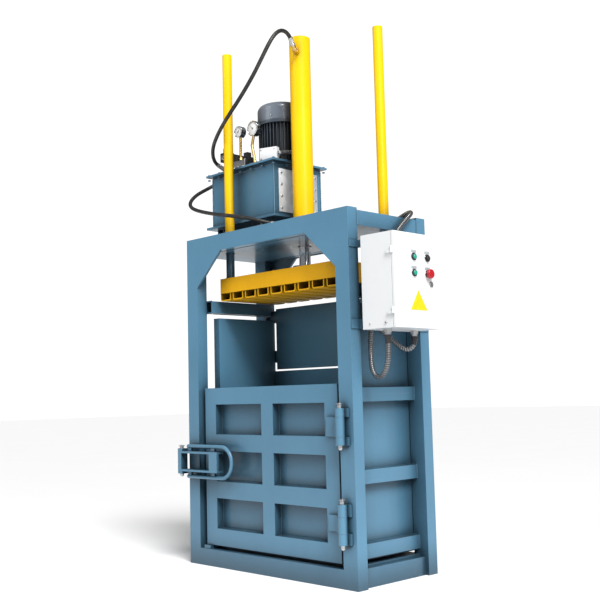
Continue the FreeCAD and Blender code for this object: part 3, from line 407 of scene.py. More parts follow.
def make_finishes():
    """One material for each of the record's slots, and the few that only small pieces use."""
    paint = bpy.context.scene.baler_paint
    FINISHES.update({
        "frame_paint": enamel("frame_enamel", paint.frame_colour),
        "tube_yellow": enamel("tube_enamel", paint.tube_colour, roughness=0.42, coat=0.08,
                              worn=(0.7, 0.5, 0.1), dirt=0.15, shine=0.22),
        "platen_yellow": enamel("platen_enamel", paint.platen_colour, roughness=0.45, coat=0.05,
                                worn=(0.3, 0.25, 0.2), dirt=0.8, shine=0.25),
        "motor_blue": enamel("motor_enamel", paint.motor_colour, roughness=0.42, coat=0.1, dirt=0.3),
        "cowl_grey": enamel("cowl_enamel", paint.cowl_colour, roughness=0.3, coat=0.3, dirt=0.6),
        "box_white": powder_coat("box_powder_coat", paint.box_colour),
        "bright_steel": machined("bright_steel", (0.58, 0.59, 0.6), 0.3),
        "chrome": machined("hard_chrome", (0.78, 0.79, 0.81), 0.08, rings=0.15),
        "brass": machined("turned_brass", (0.72, 0.5, 0.19), 0.24, tarnish=(0.3, 0.17, 0.06)),
        "bronze": machined("cast_bronze", (0.5, 0.31, 0.13), 0.38, tarnish=(0.16, 0.12, 0.08)),
        "gauge_steel": machined("polished_case", (0.74, 0.75, 0.78), 0.12, rings=0.2),
        "black_plastic": moulded("black_moulding", (0.022, 0.022, 0.025)),
        "green_plastic": moulded("green_moulding", (0.01, 0.3, 0.21), 0.28, coat=0.3),
        "red_plastic": moulded("red_moulding", (0.4, 0.004, 0.01), 0.34, coat=0.3),
        "hose_rubber": hose_cover(),
        "conduit_metal": galvanised_strip(),
        "galvanised": machined("zinc_plate", (0.86, 0.88, 0.92), 0.55, rings=0.3, tarnish=(0.6, 0.6, 0.62)),
        "label_plate": moulded("label_plate", (0.36, 0.38, 0.4), 0.5),
        "dial_white": moulded("dial_enamel", (0.82, 0.83, 0.84), 0.4),
        "field_yellow": moulded("yellow_foil", (0.72, 0.55, 0.002), 0.45),
    })


def dress_frame_nodes():
    """Give every visible solid of the frame the finish of its material slot."""
    for part in frame["record"]["subparts"]:
        node = frame["nodes"][part["node"]]
        node.data.materials.clear()
        node.data.materials.append(FINISHES[part["material_slot"]])


# ---------------------------------------------------------------- shape kit
def spaced(line, step):
    """Points along a polyline, evenly spaced by about step, with both ends kept."""
    lengths = [0.0]
    for a, b in zip(line, line[1:]):
        lengths.append(lengths[-1] + (b - a).length)
    count = max(2, round(lengths[-1] / step))
    points, at = [], 0
    for k in range(count + 1):
        want = lengths[-1] * k / count
        while at < len(lengths) - 2 and lengths[at + 1] < want:
            at += 1
        span = lengths[at + 1] - lengths[at]
        points.append(line[at].lerp(line[at + 1], (want - lengths[at]) / span if span else 0.0))
    return points


def stretch_of(line, start, end):
    """The part of a line from start to end metres along it; negative values count from its end."""
    total = sum((b - a).length for a, b in zip(line, line[1:]))
    start, end = (value if value >= 0 else total + value for value in (start, end))
    points = spaced(line, 0.002)
    step = total / (len(points) - 1)
    return [p for k, p in enumerate(points) if start - step / 2 <= k * step <= end + step / 2]


def route(name, points_mm):
    """Smooth line of a flexible route: the NURBS curve whose control points are given in millimetres."""
    data = bpy.data.curves.new(name, "CURVE")
    data.dimensions = "3D"
    spline = data.splines.new("NURBS")
    spline.points.add(len(points_mm) - 1)
    for point, place in zip(spline.points, points_mm):
        point.co = (*(Vector(place) * MM), 1.0)
    spline.order_u = 3
    spline.use_endpoint_u = True
    spline.resolution_u = 16
    holder = bpy.data.objects.new(name, data)
    mesh = bpy.data.meshes.new_from_object(holder)
    line = [v.co.copy() for v in mesh.vertices]
    bpy.data.objects.remove(holder)
    bpy.data.meshes.remove(mesh)
    bpy.data.curves.remove(data)
    return line


class Shape:
    """Gathers the faces of one piece, in metres in the machine's own frame."""

    def __init__(self):
        self.bm = bmesh.new()
        self.along = self.bm.loops.layers.uv.new("Along")
        self.groove = self.bm.loops.layers.uv.new("Groove")

    def skin(self, rings, closed_ring=True, caps=True, loop=False):
        """Join rings of points into a surface."""
        rows = [[self.bm.verts.new(p) for p in ring] for ring in rings]
        count = len(rows[0])
        pairs = list(zip(rows, rows[1:])) + ([(rows[-1], rows[0])] if loop else [])
        for a, b in pairs:
            for k in range(count if closed_ring else count - 1):
                n = (k + 1) % count
                self.bm.faces.new((a[k], a[n], b[n], b[k]))
        if caps and not loop:
            self.bm.faces.new(rows[0][::-1])
            self.bm.faces.new(rows[-1])
        return self

    def lathe(self, profile, at, axis=Z, sides=32, turn=0.0):
        """Turned solid: profile is (radius, height) pairs up the axis, closed over both ends."""
        axis = axis.normalized()
        side = axis.orthogonal().normalized()
        other = axis.cross(side)
        rings = []
        for radius, height in profile:
            centre = at + axis * height
            rings.append([centre + (side * math.cos(a) + other * math.sin(a)) * radius
                          for a in (turn + FULL_TURN * k / sides for k in range(sides))])
        return self.skin(rings)

    def hoop(self, profile, at, axis=Z, sides=48):
        """Turned ring: the profile is a closed loop of (radius, height) pairs."""
        axis = axis.normalized()
        side = axis.orthogonal().normalized()
        other = axis.cross(side)
        rings = []
        for a in (FULL_TURN * k / sides for k in range(sides)):
            out = side * math.cos(a) + other * math.sin(a)
            rings.append([at + out * radius + axis * height for radius, height in profile])
        return self.skin(rings, loop=True)

    def block(self, low, high, bevel=0.0006, turn=None):
        """Box between two corners with its edges rounded; turn is an optional matrix."""
        low, high = Vector(low), Vector(high)
        made = bmesh.ops.create_cube(self.bm, size=1.0)["verts"]
        place = Matrix.Translation((low + high) / 2) @ Matrix.Diagonal((*(high - low), 1.0))
        bmesh.ops.transform(self.bm, matrix=(turn or Matrix()) @ place, verts=made)
        if bevel:
            edges = list({e for v in made for e in v.link_edges})
            bmesh.ops.bevel(self.bm, geom=edges, offset=bevel, segments=2, profile=0.5, affect="EDGES")
        return self

    def plate(self, outline, at, right, up, thickness, bevel=0.0):
        """Flat plate with any outline, standing out of its plane by thickness along right x up."""
        out = right.cross(up).normalized()
        back = [at + right * u + up * v for u, v in outline]
        rings = [back, [p + out * (thickness - bevel) for p in back]]
        if bevel:
            middle = sum(back, Vector()) / len(back)
            rings.append([p + (middle - p).normalized() * bevel + out * thickness for p in back])
        return self.skin(rings)

    def bolt(self, at, axis, size, washer=True):
        """Hexagon head with a chamfered top on a washer; size is the thread's diameter."""
        low = 0.0
        if washer:
            low = size * 0.18
            self.lathe([(size * 1.15, 0), (size * 1.15, size * 0.14), (size * 1.1, low)], at, axis, 24)
        across = size * 0.98
        self.lathe([(across, low), (across, low + size * 0.56), (across * 0.86, low + size * 0.66),
                    (across * 0.3, low + size * 0.66)], at, axis, 6, turn=at.x * 90 + at.z * 50)
        return self

    def screw(self, at, axis, radius):
        """Domed screw head with a socket in it."""
        return self.lathe([(radius, 0), (radius, radius * 0.35), (radius * 0.8, radius * 0.75),
                           (radius * 0.45, radius * 0.9), (radius * 0.4, radius * 0.45)], at, axis, 20)

    def bead(self, points, radius=0.0035, closed=False):
        """Weld bead: a low rope of overlapping ripples along a line of points."""
        line = spaced(points + ([points[0]] if closed else []), 0.004)
        ripples = [1.0 + 0.16 * math.sin(k * 1.9) + 0.07 * math.sin(k * 0.53) for k in range(len(line))]
        self.sweep(line, lambda k, angle: radius * ripples[k], sides=7)
        return self

    def sweep(self, line, radius_at, sides=20, pitch=None):
        """Tube along a line; radius_at(row, angle) gives its radius. Rows carry their length as a map."""
        tangents = [(b - a).normalized() for a, b in zip(line, line[1:])]
        between = [(a + b).normalized() for a, b in zip(tangents, tangents[1:])]
        tangents = [tangents[0]] + between + [tangents[-1]]
        side = tangents[0].orthogonal().normalized()
        rows, length, lengths = [], 0.0, []
        for k, (point, tangent) in enumerate(zip(line, tangents)):
            if k:
                side = (side - tangent * side.dot(tangent)).normalized()
                length += (point - line[k - 1]).length
            other = tangent.cross(side)
            lengths.append(length)
            angles = [FULL_TURN * n / sides for n in range(sides)]
            radii = [radius_at(k, a) for a in angles]
            rows.append([(self.bm.verts.new(point + (side * math.cos(a) + other * math.sin(a)) * r), r)
                         for a, r in zip(angles, radii)])
        widest = max(r for row in rows for _, r in row)
        for k, (a, b) in enumerate(zip(rows, rows[1:])):
            for n in range(sides):
                m = (n + 1) % sides
                face = self.bm.faces.new((a[n][0], a[m][0], b[m][0], b[n][0]))
                corners = ((n, k, a[n]), (n + 1, k, a[m]), (n + 1, k + 1, b[m]), (n, k + 1, b[n]))
                for loop, (u, row, (_, radius)) in zip(face.loops, corners):
                    loop[self.along].uv = (u / sides, lengths[row])
                    # The Groove map holds how deep each point lies in the groove; the conduit's finish paints
                    # shade from it.
                    if pitch:
                        loop[self.groove].uv = (min(1.0, (widest - radius) / pitch), 0.0)
        self.bm.faces.new([v for v, _ in rows[0]][::-1])
        self.bm.faces.new([v for v, _ in rows[-1]])
        return self

    def make(self, name, finish, body, slot=None, sharp=40.0):
        """Turn the faces into an object that rides on a body of the frame."""
        bmesh.ops.recalc_face_normals(self.bm, faces=self.bm.faces[:])
        mesh = bpy.data.meshes.new(name)
        self.bm.to_mesh(mesh)
        self.bm.free()
        mesh.shade_smooth()
        mesh.set_sharp_from_angle(angle=math.radians(sharp))
        piece = bpy.data.objects.new(name, mesh)
        bpy.context.scene.collection.objects.link(piece)
        piece.data.materials.append(FINISHES[finish])
        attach(piece, body)
        return piece


def rectangle(low, high, axis, level):
    """Corners of a rectangle round a box, in the plane across an axis (0, 1 or 2) at a level."""
    first, second = [k for k in range(3) if k != axis]
    points = []
    for u, v in ((low, low), (high, low), (high, high), (low, high)):
        point = Vector()
        point[axis], point[first], point[second] = level, u[first], v[second]
        points.append(point)
    return points


def ways_round(count, first=0.0):
    """Level directions spread evenly round the vertical, from the angle first."""
    turns = [first + FULL_TURN * k / count for k in range(count)]
    return [Vector((math.cos(a), math.sin(a), 0)) for a in turns]


def axes(x, y, z):
    """Matrix that turns the three axes to these directions."""
    return Matrix((x, y, z)).transposed().to_4x4()


def circle(centre, radius, axis=Z, count=40):
    """Points round a circle."""
    side = axis.orthogonal().normalized()
    other = axis.cross(side)
    return [centre + (side * math.cos(a) + other * math.sin(a)) * radius
            for a in (FULL_TURN * k / count for k in range(count))]


def islands(node):
    """Boxes of the separate solids of a frame node, as (low, high), from low X to high X."""
    bm = bmesh.new()
    bm.from_mesh(frame["nodes"][node].data)
    bmesh.ops.remove_doubles(bm, verts=bm.verts[:], dist=1e-5)
    left = set(bm.verts)
    boxes = []
    while left:
        stack, found = [left.pop()], []
        while stack:
            vert = stack.pop()
            found.append(vert.co.copy())
            for edge in vert.link_edges:
                other = edge.other_vert(vert)
                if other in left:
                    left.remove(other)
                    stack.append(other)
        low = Vector([min(p[k] for p in found) for k in range(3)])
        high = Vector([max(p[k] for p in found) for k in range(3)])
        boxes.append((low, high))
    bm.free()
    return sorted(boxes, key=lambda b: (round(b[0].x, 4), round(b[0].z, 4), round(b[0].y, 4)))


# ---------------------------------------------------------------- hoses and conduits
UPPER_HOSE = [(46, -60, 2502), (53, -82, 2533), (62, -120, 2552), (70, -166, 2545), (72, -208, 2510),
              (60, -236, 2458), (30, -254, 2394), (-16, -264, 2328), (-76, -268, 2268), (-146, -262, 2220),
              (-226, -248, 2180), (-312, -222, 2146), (-396, -188, 2118), (-474, -148, 2092),
              (-534, -104, 2066), (-570, -62, 2044), (-577, -30, 2028), (-568, -4, 2014)]
LOWER_HOSE = [(-538, 56, 1988), (-574, 59, 1990), (-612, 66, 1991), (-648, 66, 1983), (-680, 48, 1965),
              (-698, 14, 1941), (-702, -30, 1916), (-696, -80, 1888), (-684, -126, 1854), (-656, -164, 1820),
              (-608, -192, 1788), (-544, -210, 1762), (-466, -220, 1738), (-380, -222, 1715),
              (-294, -214, 1696), (-212, -196, 1679), (-144, -166, 1659), (-92, -122, 1640),
              (-62, -78, 1628)]
MOTOR_CONDUIT = [(704, -190, 1044), (705, -190, 1006), (703, -190, 966), (696, -188, 930),
                 (683, -187, 900), (665, -184, 879), (643, -181, 870), (621, -178, 875), (603, -175, 892),
                 (592, -172, 920), (585, -167, 958), (580, -161, 1008), (577, -153, 1068),
                 (575, -142, 1136), (574, -126, 1208), (574, -106, 1278), (575, -80, 1346), (577, -46, 1412),
                 (579, -4, 1470), (581, 38, 1520), (583, 82, 1562), (582, 118, 1591), (576, 144, 1610),
                 (562, 160, 1620), (542, 168, 1621), (520, 170, 1617), (496, 169, 1608), (470, 164, 1596),
                 (442, 154, 1584), (412, 141, 1571), (380, 130, 1560), (344, 120, 1551), (300, 113, 1548),
                 (248, 110, 1548), (192, 111, 1549), (142, 115, 1550), (98, 121, 1552), (60, 127, 1557),
                 (28, 131, 1568), (1, 133, 1585), (-21, 132, 1610), (-37, 130, 1646), (-47, 129, 1692),
                 (-54, 130, 1746), (-58, 130, 1808), (-61, 130, 1870), (-63, 127, 1922), (-65, 116, 1962),
                 (-67, 98, 1990), (-70, 74, 2005), (-73, 48, 2010), (-78, 24, 2010), (-88, 4, 2008),
                 (-106, -8, 2007)]
SWITCH_CONDUIT = [(668, 26, 1044), (668, 24, 1023), (664, 18, 1003), (654, 9, 991), (640, -3, 989),
                  (625, -14, 998), (608, -25, 1015), (589, -38, 1038), (569, -54, 1062), (550, -71, 1087),
                  (536, -86, 1113), (532, -90, 1142)]


def ferrule(name, line, start, end, radius):
    """Crimped steel sleeve round the end of a hose, with a rolled mouth."""
    part = spaced(stretch_of(line, start, end), 0.001)
    last = len(part) - 1
    mouth_first = start >= 0

    def swell(row, angle):
        here = row if mouth_first else last - row
        grip = 0.0009 if 0.2 < here / last < 0.85 and (here // 4) % 2 else 0.0
        lip = 0.0012 if here < 4 else 0.0
        taper = 0.0016 * max(0.0, here / last - 0.85) / 0.15
        return radius * 1.24 - grip + lip - taper

    return Shape().sweep(part, swell, 28).make(name, "bright_steel", "frame")


def strain_relief(name, line, start, end, radius):
    """Black moulded sleeve that tapers from its nut onto the line, with flexing grooves."""
    part = spaced(stretch_of(line, start, end), 0.001)
    last = len(part) - 1
    wide_first = start >= 0

    def taper(row, angle):
        along = (row if wide_first else last - row) / last
        rib = 0.0009 if 0.35 < along < 0.9 and (row // 3) % 2 else 0.0
        return radius * (1.42 - 0.32 * along) - rib

    return Shape().sweep(part, taper, 24).make(name, "black_plastic", "frame")


def hose(name, node, points):
    """Hydraulic hose on its route, with a crimped ferrule at each end."""
    radius = bpy.context.scene.baler_lines.hose_radius
    line = route(name + "_route", points)
    shape = Shape().sweep(spaced(line, 0.005), lambda row, angle: radius, 24)
    tube = shape.make(name, "hose_rubber", "frame")
    ends = [ferrule(name + "_ferrule_start", line, 0.0, 0.042, radius),
            ferrule(name + "_ferrule_end", line, -0.042, -0.0001, radius)]
    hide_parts(node)


def conduit(name, node, points):
    """Spiral metal conduit: strip wound with a groove between its turns, in a relief at each end."""
    lines = bpy.context.scene.baler_lines
    radius, pitch, depth = lines.conduit_radius, lines.conduit_pitch, lines.conduit_groove
    line = route(name + "_route", points)
    rows_per_turn = 7
    part = spaced(line, pitch / rows_per_turn)
    step = sum((b - a).length for a, b in zip(part, part[1:])) / (len(part) - 1)

    def wound(row, angle):
        phase = (row * step / pitch - angle / FULL_TURN) % 1.0
        return radius - depth * max(0.0, math.cos(FULL_TURN * phase)) ** 1.5

    tube = Shape().sweep(part, wound, 18, pitch=depth).make(name, "conduit_metal", "frame", sharp=75.0)
    ends = [strain_relief(name + "_relief_start", line, 0.0, 0.036, radius),
            strain_relief(name + "_relief_end", line, -0.032, -0.0001, radius)]
    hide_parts(node)
    return line


def deck_clips(line):
    """Saddle clips that hold the motor's conduit down on the deck."""
    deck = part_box("deck_plate")[1].z
    radius = bpy.context.scene.baler_lines.conduit_radius
    half, sheet = 0.009, 0.0022
    shape = Shape()
    near = [p for p in line if 0.12 < p.x < 0.36]
    for k in (len(near) // 5, 4 * len(near) // 5):
        middle = near[k]
        along = (near[k + 1] - near[k - 1]).normalized()
        aside = along.cross(Z).normalized()
        band = [middle - along * half, middle, middle + along * half]
        shape.sweep(spaced(band, 0.003), lambda row, angle: radius * 1.13, 24)
        foot = Vector((middle.x, middle.y, deck))
        turn = Matrix.Translation(foot) @ along.to_track_quat("X", "Z").to_matrix().to_4x4()
        for hand in (-1, 1):
            low, high = sorted((hand * radius * 0.9, hand * 0.03))
            shape.block((-half, low, 0.0), (half, high, sheet), 0.0005, turn)
            shape.screw(foot + Z * sheet - aside * hand * 0.022, Z, 0.0042)
    shape.make("conduit_clips", "bright_steel", "frame")


# ---------------------------------------------------------------- welds
def frame_welds():
    """Weld beads where the ribs, rails, plates and feet of the frame meet."""
    shape = Shape()
    for low, high in islands("side_ribs") + islands("upper_side_rails"):
        hand = 1 if high.x > 0 else -1
        inner, outer = (low.x, high.x) if hand > 0 else (high.x, low.x)
        for y in (low.y, high.y):
            shape.bead([Vector((x, y, z)) for x, z in ((inner, high.z), (outer, high.z), (outer, low.z),
                                                       (inner, low.z))], 0.0032)
        for z in (low.z, high.z):
            shape.bead([Vector((hand * SIDE_SKIN_X, y, z)) for y in (low.y + 0.04, high.y - 0.04)], 0.0028)
    for low, high in islands("top_side_beams"):
        outer = high.x if high.x > 0 else low.x
        for y in (low.y, high.y):
            shape.bead([Vector((outer, y, z)) for z in (low.z, high.z)], 0.0032)
    for low, high in islands("back_ribs"):
        shape.bead([Vector((x, low.y, high.z)) for x in (low.x + 0.03, high.x - 0.03)], 0.0028)
    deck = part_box("deck_plate")[1].z
    for low, high in islands("tank_supports"):
        shape.bead([Vector((x, low.y, deck)) for x in (low.x + 0.01, high.x - 0.01)], 0.003)
    flange_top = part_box("cylinder_flange")[1].z
    shape.bead(circle(Vector((*RAM_AXIS, flange_top)), RAM_RADIUS + 0.001), 0.005, closed=True)
    shape.make("frame_weld_beads", "frame_paint", "frame")
    tubes = Shape()
    for x, y in GUIDE_TUBES:
        tubes.bead(circle(Vector((x, y, deck + 0.01)), GUIDE_RADIUS), 0.0045, closed=True)
    tubes.make("guide_tube_weld_beads", "tube_yellow", "frame")


def tank_details():
    """Seams, flange fasteners and side cover plate of the oil tank."""
    low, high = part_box("tank_body")
    wall_low, wall_high = Vector((*TANK_LOW, low.z)), Vector((*TANK_HIGH, high.z))
    lid_low, lid_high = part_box("tank_lid")
    under = lid_low.z - TANK_LIP
    seams = Shape()
    for corner in rectangle(wall_low, wall_high, 2, low.z + 0.01):
        seams.bead([corner, Vector((corner.x, corner.y, under))], 0.003)
    seams.bead(rectangle(wall_low, wall_high, 2, under - 0.0005), 0.0035, closed=True)
    seams.make("tank_seam_beads", "frame_paint", "frame")
    studs = Shape()
    inset = 0.012
    across, deep = 6, 4
    x0, y0 = lid_low.x + inset, lid_low.y + inset
    x1, y1 = lid_high.x - inset, lid_high.y - inset
    places = [(x0 + (x1 - x0) * k / across, y) for k in range(across + 1) for y in (y0, y1)]
    places += [(x, y0 + (y1 - y0) * k / deep) for k in range(1, deep) for x in (x0, x1)]
    for x, y in places:
        studs.bolt(Vector((x, y, lid_high.z)), Z, 0.007)
        studs.bolt(Vector((x, y, under)), -Z, 0.007)
    studs.make("tank_lid_bolts", "frame_paint", "frame")
    sheet = 0.004
    y0, y1 = COVER_Y
    z0, z1 = low.z + 0.03, under - 0.02
    cover = Shape()
    cover.block((wall_high.x, y0, z0), (wall_high.x + sheet, y1, z1), 0.0008)
    cover.make("tank_cover_plate", "galvanised", "frame", slot="bright_steel")
    screws = Shape()
    for k in range(4):
        for y in (y0 + 0.016, y1 - 0.016):
            screws.bolt(Vector((wall_high.x + sheet, y, z0 + 0.02 + (z1 - z0 - 0.04) * k / 3)), X, 0.006)
    screws.make("tank_cover_bolts", "bright_steel", "frame")


def motor_details():
    """Cowl lip and screws, flange bolts and terminal box lid of the motor."""
    joint = MOTOR_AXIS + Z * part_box("motor_body")[1].z
    lip = Shape()
    lip.hoop([(0.121, -0.010), (0.1255, -0.009), (0.1262, -0.001), (0.1255, 0.006), (0.1212, 0.008)],
             joint, sides=72)
    lip.make("motor_cowl_lip", "motor_blue", "frame")
    band = Shape()
    for turn in (0.4, 2.0, 3.5, 5.1):
        out = Vector((math.cos(turn), math.sin(turn), 0))
        band.screw(joint + out * COWL_RADIUS + Z * 0.03, out, 0.0055)
    band.make("motor_cowl_screws", "bright_steel", "frame")
    foot = Shape()
    flange_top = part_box("tank_lid")[1].z + 0.015
    for out in ways_round(4, math.pi / 4):
        foot.bolt(MOTOR_AXIS + out * MOTOR_BOLT_CIRCLE + Z * flange_top, Z, 0.006)
    foot.make("motor_flange_bolts", "bright_steel", "frame")
    low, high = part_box("terminal_box")
    out = Vector((math.cos(TERMINAL_TURN), math.sin(TERMINAL_TURN), 0))
    side = Z.cross(out)
    face = MOTOR_AXIS + out * TERMINAL_FACE + Z * (low.z + high.z) / 2
    half_width, half_height, thickness = 0.044, 0.029, 0.004
    lid = Shape()
    lid.block((0.0, -half_width, -half_height), (thickness, half_width, half_height), 0.0012,
              Matrix.Translation(face) @ axes(out, side, Z))
    lid.make("terminal_box_lid", "box_white", "frame")
    screws = Shape()
    for across in (-0.037, 0.037):
        for rise in (-0.022, 0.022):
            screws.screw(face + out * thickness + side * across + Z * rise, out, 0.0036)
    screws.make("terminal_box_screws", "bright_steel", "frame")


def valve_details():
    """Coil nuts, plug screws and block screws of the valves; ribs of the breather."""
    shape = Shape()
    low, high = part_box("valve_block")
    for x in (low.x + 0.012, high.x - 0.012):
        for y in (low.y + 0.012, high.y - 0.012):
            shape.screw(Vector((x, y, high.z)), Z, 0.006)
    for k in range(3):
        shape.bolt(Vector((high.x - 0.02 - 0.034 * k, low.y, low.z + 0.02)), -Y, 0.008)
    low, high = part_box("solenoid_valves")
    x = (low.x + high.x) / 2
    for y, way in ((low.y, -Y), (high.y, Y)):
        shape.bolt(Vector((x, y, low.z + 0.022)), way, 0.012)
    for y in (-0.048, 0.092):
        shape.screw(Vector((x, y, high.z)), Z, 0.005)
    shape.make("valve_screws", "bright_steel", "frame")
    cap = Shape()
    low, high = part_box("oil_breather")
    middle = (low + high) / 2
    middle.z = high.z
    radius = (high.x - low.x) / 2
    for out in ways_round(28):
        cap.block((radius - 0.0022, -0.0016, -0.024), (radius + 0.0008, 0.0016, -0.004), 0.0004,
                  Matrix.Translation(middle) @ axes(out, Z.cross(out), Z))
    cap.make("breather_grip_ribs", "black_plastic", "frame")


def gauge_details():
    """Bezel, dial with plain ticks and needle of each pressure gauge."""
    ticks, long_every, sweep = 28, 9, math.radians(270)
    for name, (low, high), reading in zip(("small", "large"), islands("pressure_gauges"), (0.9, 2.3)):
        centre = (low + high) / 2
        centre.y = low.y
        radius = (high.x - low.x) / 2
        bezel = Shape()
        bezel.hoop([(radius - 0.0045, 0.0), (radius - 0.004, 0.0022), (radius - 0.0015, 0.0034),
                    (radius + 0.0008, 0.0022), (radius + 0.0010, -0.006), (radius + 0.0002, -0.0065),
                    (radius - 0.003, -0.0005)], centre, -Y, 56)
        bezel.make(name + "_gauge_bezel", "chrome", "frame")
        dial = Shape()
        dial.lathe([(radius - 0.0046, -0.0019), (radius - 0.0046, -0.0012), (radius - 0.005, -0.0009)],
                   centre, -Y, 48)
        dial.make(name + "_gauge_dial", "dial_white", "frame", slot="gauge_steel")
        marks = Shape()
        front = centre - Y * 0.0009
        tick_end = radius - 0.007
        for k in range(ticks):
            turn = math.radians(225) - sweep * k / (ticks - 1)
            out = Vector((math.cos(turn), 0, math.sin(turn)))
            tick = 0.003 if k % long_every else 0.0055
            marks.block((tick_end - tick, -0.0001, -0.0004), (tick_end, 0.0003, 0.0004), 0.0,
                        Matrix.Translation(front) @ axes(out, -Y, out.cross(-Y)))
        way = Vector((math.cos(reading), 0, math.sin(reading)))
        point = radius - 0.010
        marks.plate([(-0.009, -0.0011), (-0.009, 0.0011), (point, 0.0003), (point, -0.0003)],
                    front - Y * 0.0004, way, way.cross(Y), 0.0005)
        marks.lathe([(0.0032, 0.0), (0.0032, 0.0012), (0.002, 0.0018)], front, -Y, 20)
        marks.make(name + "_gauge_marks", "black_plastic", "frame")


def box_details():
    """Gasket, blank legend plates, plain yellow field, screws and collar rings of the control box."""
    low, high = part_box("enclosure_body")
    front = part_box("enclosure_door")[1].x
    y0, y1 = BOX_Y
    gap, width = 0.002, 0.012
    seal = Shape()
    for a, b in (((y0 + gap, low.z + gap), (y1 - gap, low.z + width)),
                 ((y0 + gap, high.z - width), (y1 - gap, high.z - gap)),
                 ((y0 + gap, low.z + width), (y0 + width, high.z - width)),
                 ((y1 - width, low.z + width), (y1 - gap, high.z - width))):
        seal.block((SEAL_X[0], *a), (SEAL_X[1], *b), 0.0)
    seal.make("control_door_seal", "black_plastic", "frame")
    plates = Shape()
    for y, z in BUTTONS:
        plates.block((front, y - 0.017, z + 0.0185), (front + 0.0014, y + 0.017, z + 0.0295), 0.0004)
    plates.make("blank_legend_plates", "label_plate", "control_door", slot="black_plastic")
    rings = Shape()
    for place in BUTTONS:
        rings.hoop([(0.0151, 0.0), (0.0172, 0.0), (0.0172, 0.0012), (0.0162, 0.0018), (0.0151, 0.0018)],
                   Vector((front, *place)), X, 40)
    rings.make("button_rings", "chrome", "control_door")
    field = Shape()
    field.plate(FIELD_CORNERS, Vector((front, 0, 0)), Y, Z, 0.0009)
    field.make("plain_yellow_field", "field_yellow", "control_door", slot="tube_yellow")
    ring = Shape()
    ring.hoop([(0.0114, 0.0), (0.0142, 0.0), (0.0142, 0.0014), (0.013, 0.0022), (0.0114, 0.0022)],
              Vector((front, *LOCK)), X, 36)
    ring.make("lock_ring", "chrome", "control_door")
    screws = Shape()
    for x, radius in ((0.727, 0.006), (0.64, 0.004)):
        screws.screw(Vector((x, y0, 1.092)), -Y, radius)
    for x in (0.618, 0.742):
        for z in (low.z + 0.03, high.z - 0.03):
            screws.screw(Vector((x, y1, z)), Y, 0.004)
    screws.make("control_box_screws", "bright_steel", "frame")


def switch_details():
    """Cover and screws of the limit switch."""
    low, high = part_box("limit_switch")
    z0, z1 = SWITCH_COVER_Z
    front = high.x + 0.003
    cover = Shape()
    cover.block((high.x, low.y + 0.004, z0), (front, high.y - 0.004, z1), 0.001)
    cover.make("limit_switch_cover", "black_plastic", "frame")
    screws = Shape()
    for y in (low.y + 0.009, high.y - 0.009):
        for z in (z0 + 0.006, z1 - 0.006):
            screws.screw(Vector((front, y, z)), X, 0.0028)
    screws.make("limit_switch_screws", "bright_steel", "frame")


def door_details():
    """Weld beads round the door's recesses and along the hinge leaves; knuckle beads and pin washers."""
    front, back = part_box("door_frame")[0].y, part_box("door_sheet")[0].y
    pitch = (DOOR_HEIGHT - DOOR_BAR) / DOOR_ROWS
    side = DOOR_HALF_WIDTH - DOOR_BAR
    shape = Shape()
    for row in range(DOOR_ROWS):
        z0 = DOOR_FOOT + DOOR_BAR + pitch * row
        z1 = DOOR_FOOT + pitch * (row + 1)
        for x0, x1 in ((-side, -DOOR_MIDDLE_BAR), (DOOR_MIDDLE_BAR, side)):
            recess = rectangle(Vector((x0, back, z0)), Vector((x1, back, z1)), 1, back)
            shape.bead(recess, 0.0026, closed=True)
    for low, high in islands("door_hinge_leaves"):
        for z in (low.z, high.z):
            shape.bead([Vector((x, front, z)) for x in (low.x, DOOR_HALF_WIDTH)], 0.003)
        shape.bead([Vector((low.x, front, z)) for z in (low.z, high.z)], 0.003)
    shape.make("door_weld_beads", "frame_paint", "door")
    knuckles = Shape()
    for low, high in islands("frame_hinge_knuckles"):
        for z in (low.z + 0.004, high.z - 0.004):
            knuckles.bead([Vector((x, POST_FRONT_Y, z)) for x in POST_KNUCKLE_X], 0.0026)
    knuckles.make("frame_knuckle_beads", "frame_paint", "frame")
    pins = Shape()
    for low, high in islands("pivot_pins"):
        top = (low + high) / 2
        top.z = high.z
        pins.lathe([(0.0155, -0.0042), (0.0155, -0.0022), (0.0145, -0.0016), (0.011, -0.0014)], top, Z, 28)
        pins.lathe([(0.006, -0.001), (0.006, 0.0), (0.004, 0.0012)], top, Z, 20)
    pins.make("pin_washers", "bright_steel", "frame")


def platen_details():
    """Weld beads and bolts of the platen and rod flange."""
    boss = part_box("platen_frame")[1].z
    low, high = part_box("strap_channels")
    shape = Shape()
    for k in range(STRAP_CHANNELS):
        middle = (k - (STRAP_CHANNELS - 1) / 2) * CHANNEL_PITCH
        for y in (low.y + 0.004, high.y - 0.004):
            for x in (middle - CHANNEL_HALF, middle + CHANNEL_HALF):
                shape.bead([Vector((x, y, high.z - 0.006)), Vector((x, y, high.z))], 0.002)
    pad = rectangle(Vector((-0.16, -0.06, 0)), Vector((0.16, 0.12, 0)), 2, PLATEN_TOP)
    shape.bead(pad, 0.004, closed=True)
    shape.make("platen_weld_beads", "platen_yellow", "platen")
    bolts = Shape()
    for x in (-0.11, 0.11):
        for y in (-0.035, 0.095):
            bolts.bolt(Vector((x, y, boss)), Z, 0.01)
    bolts.make("rod_flange_bolts", "bright_steel", "platen")


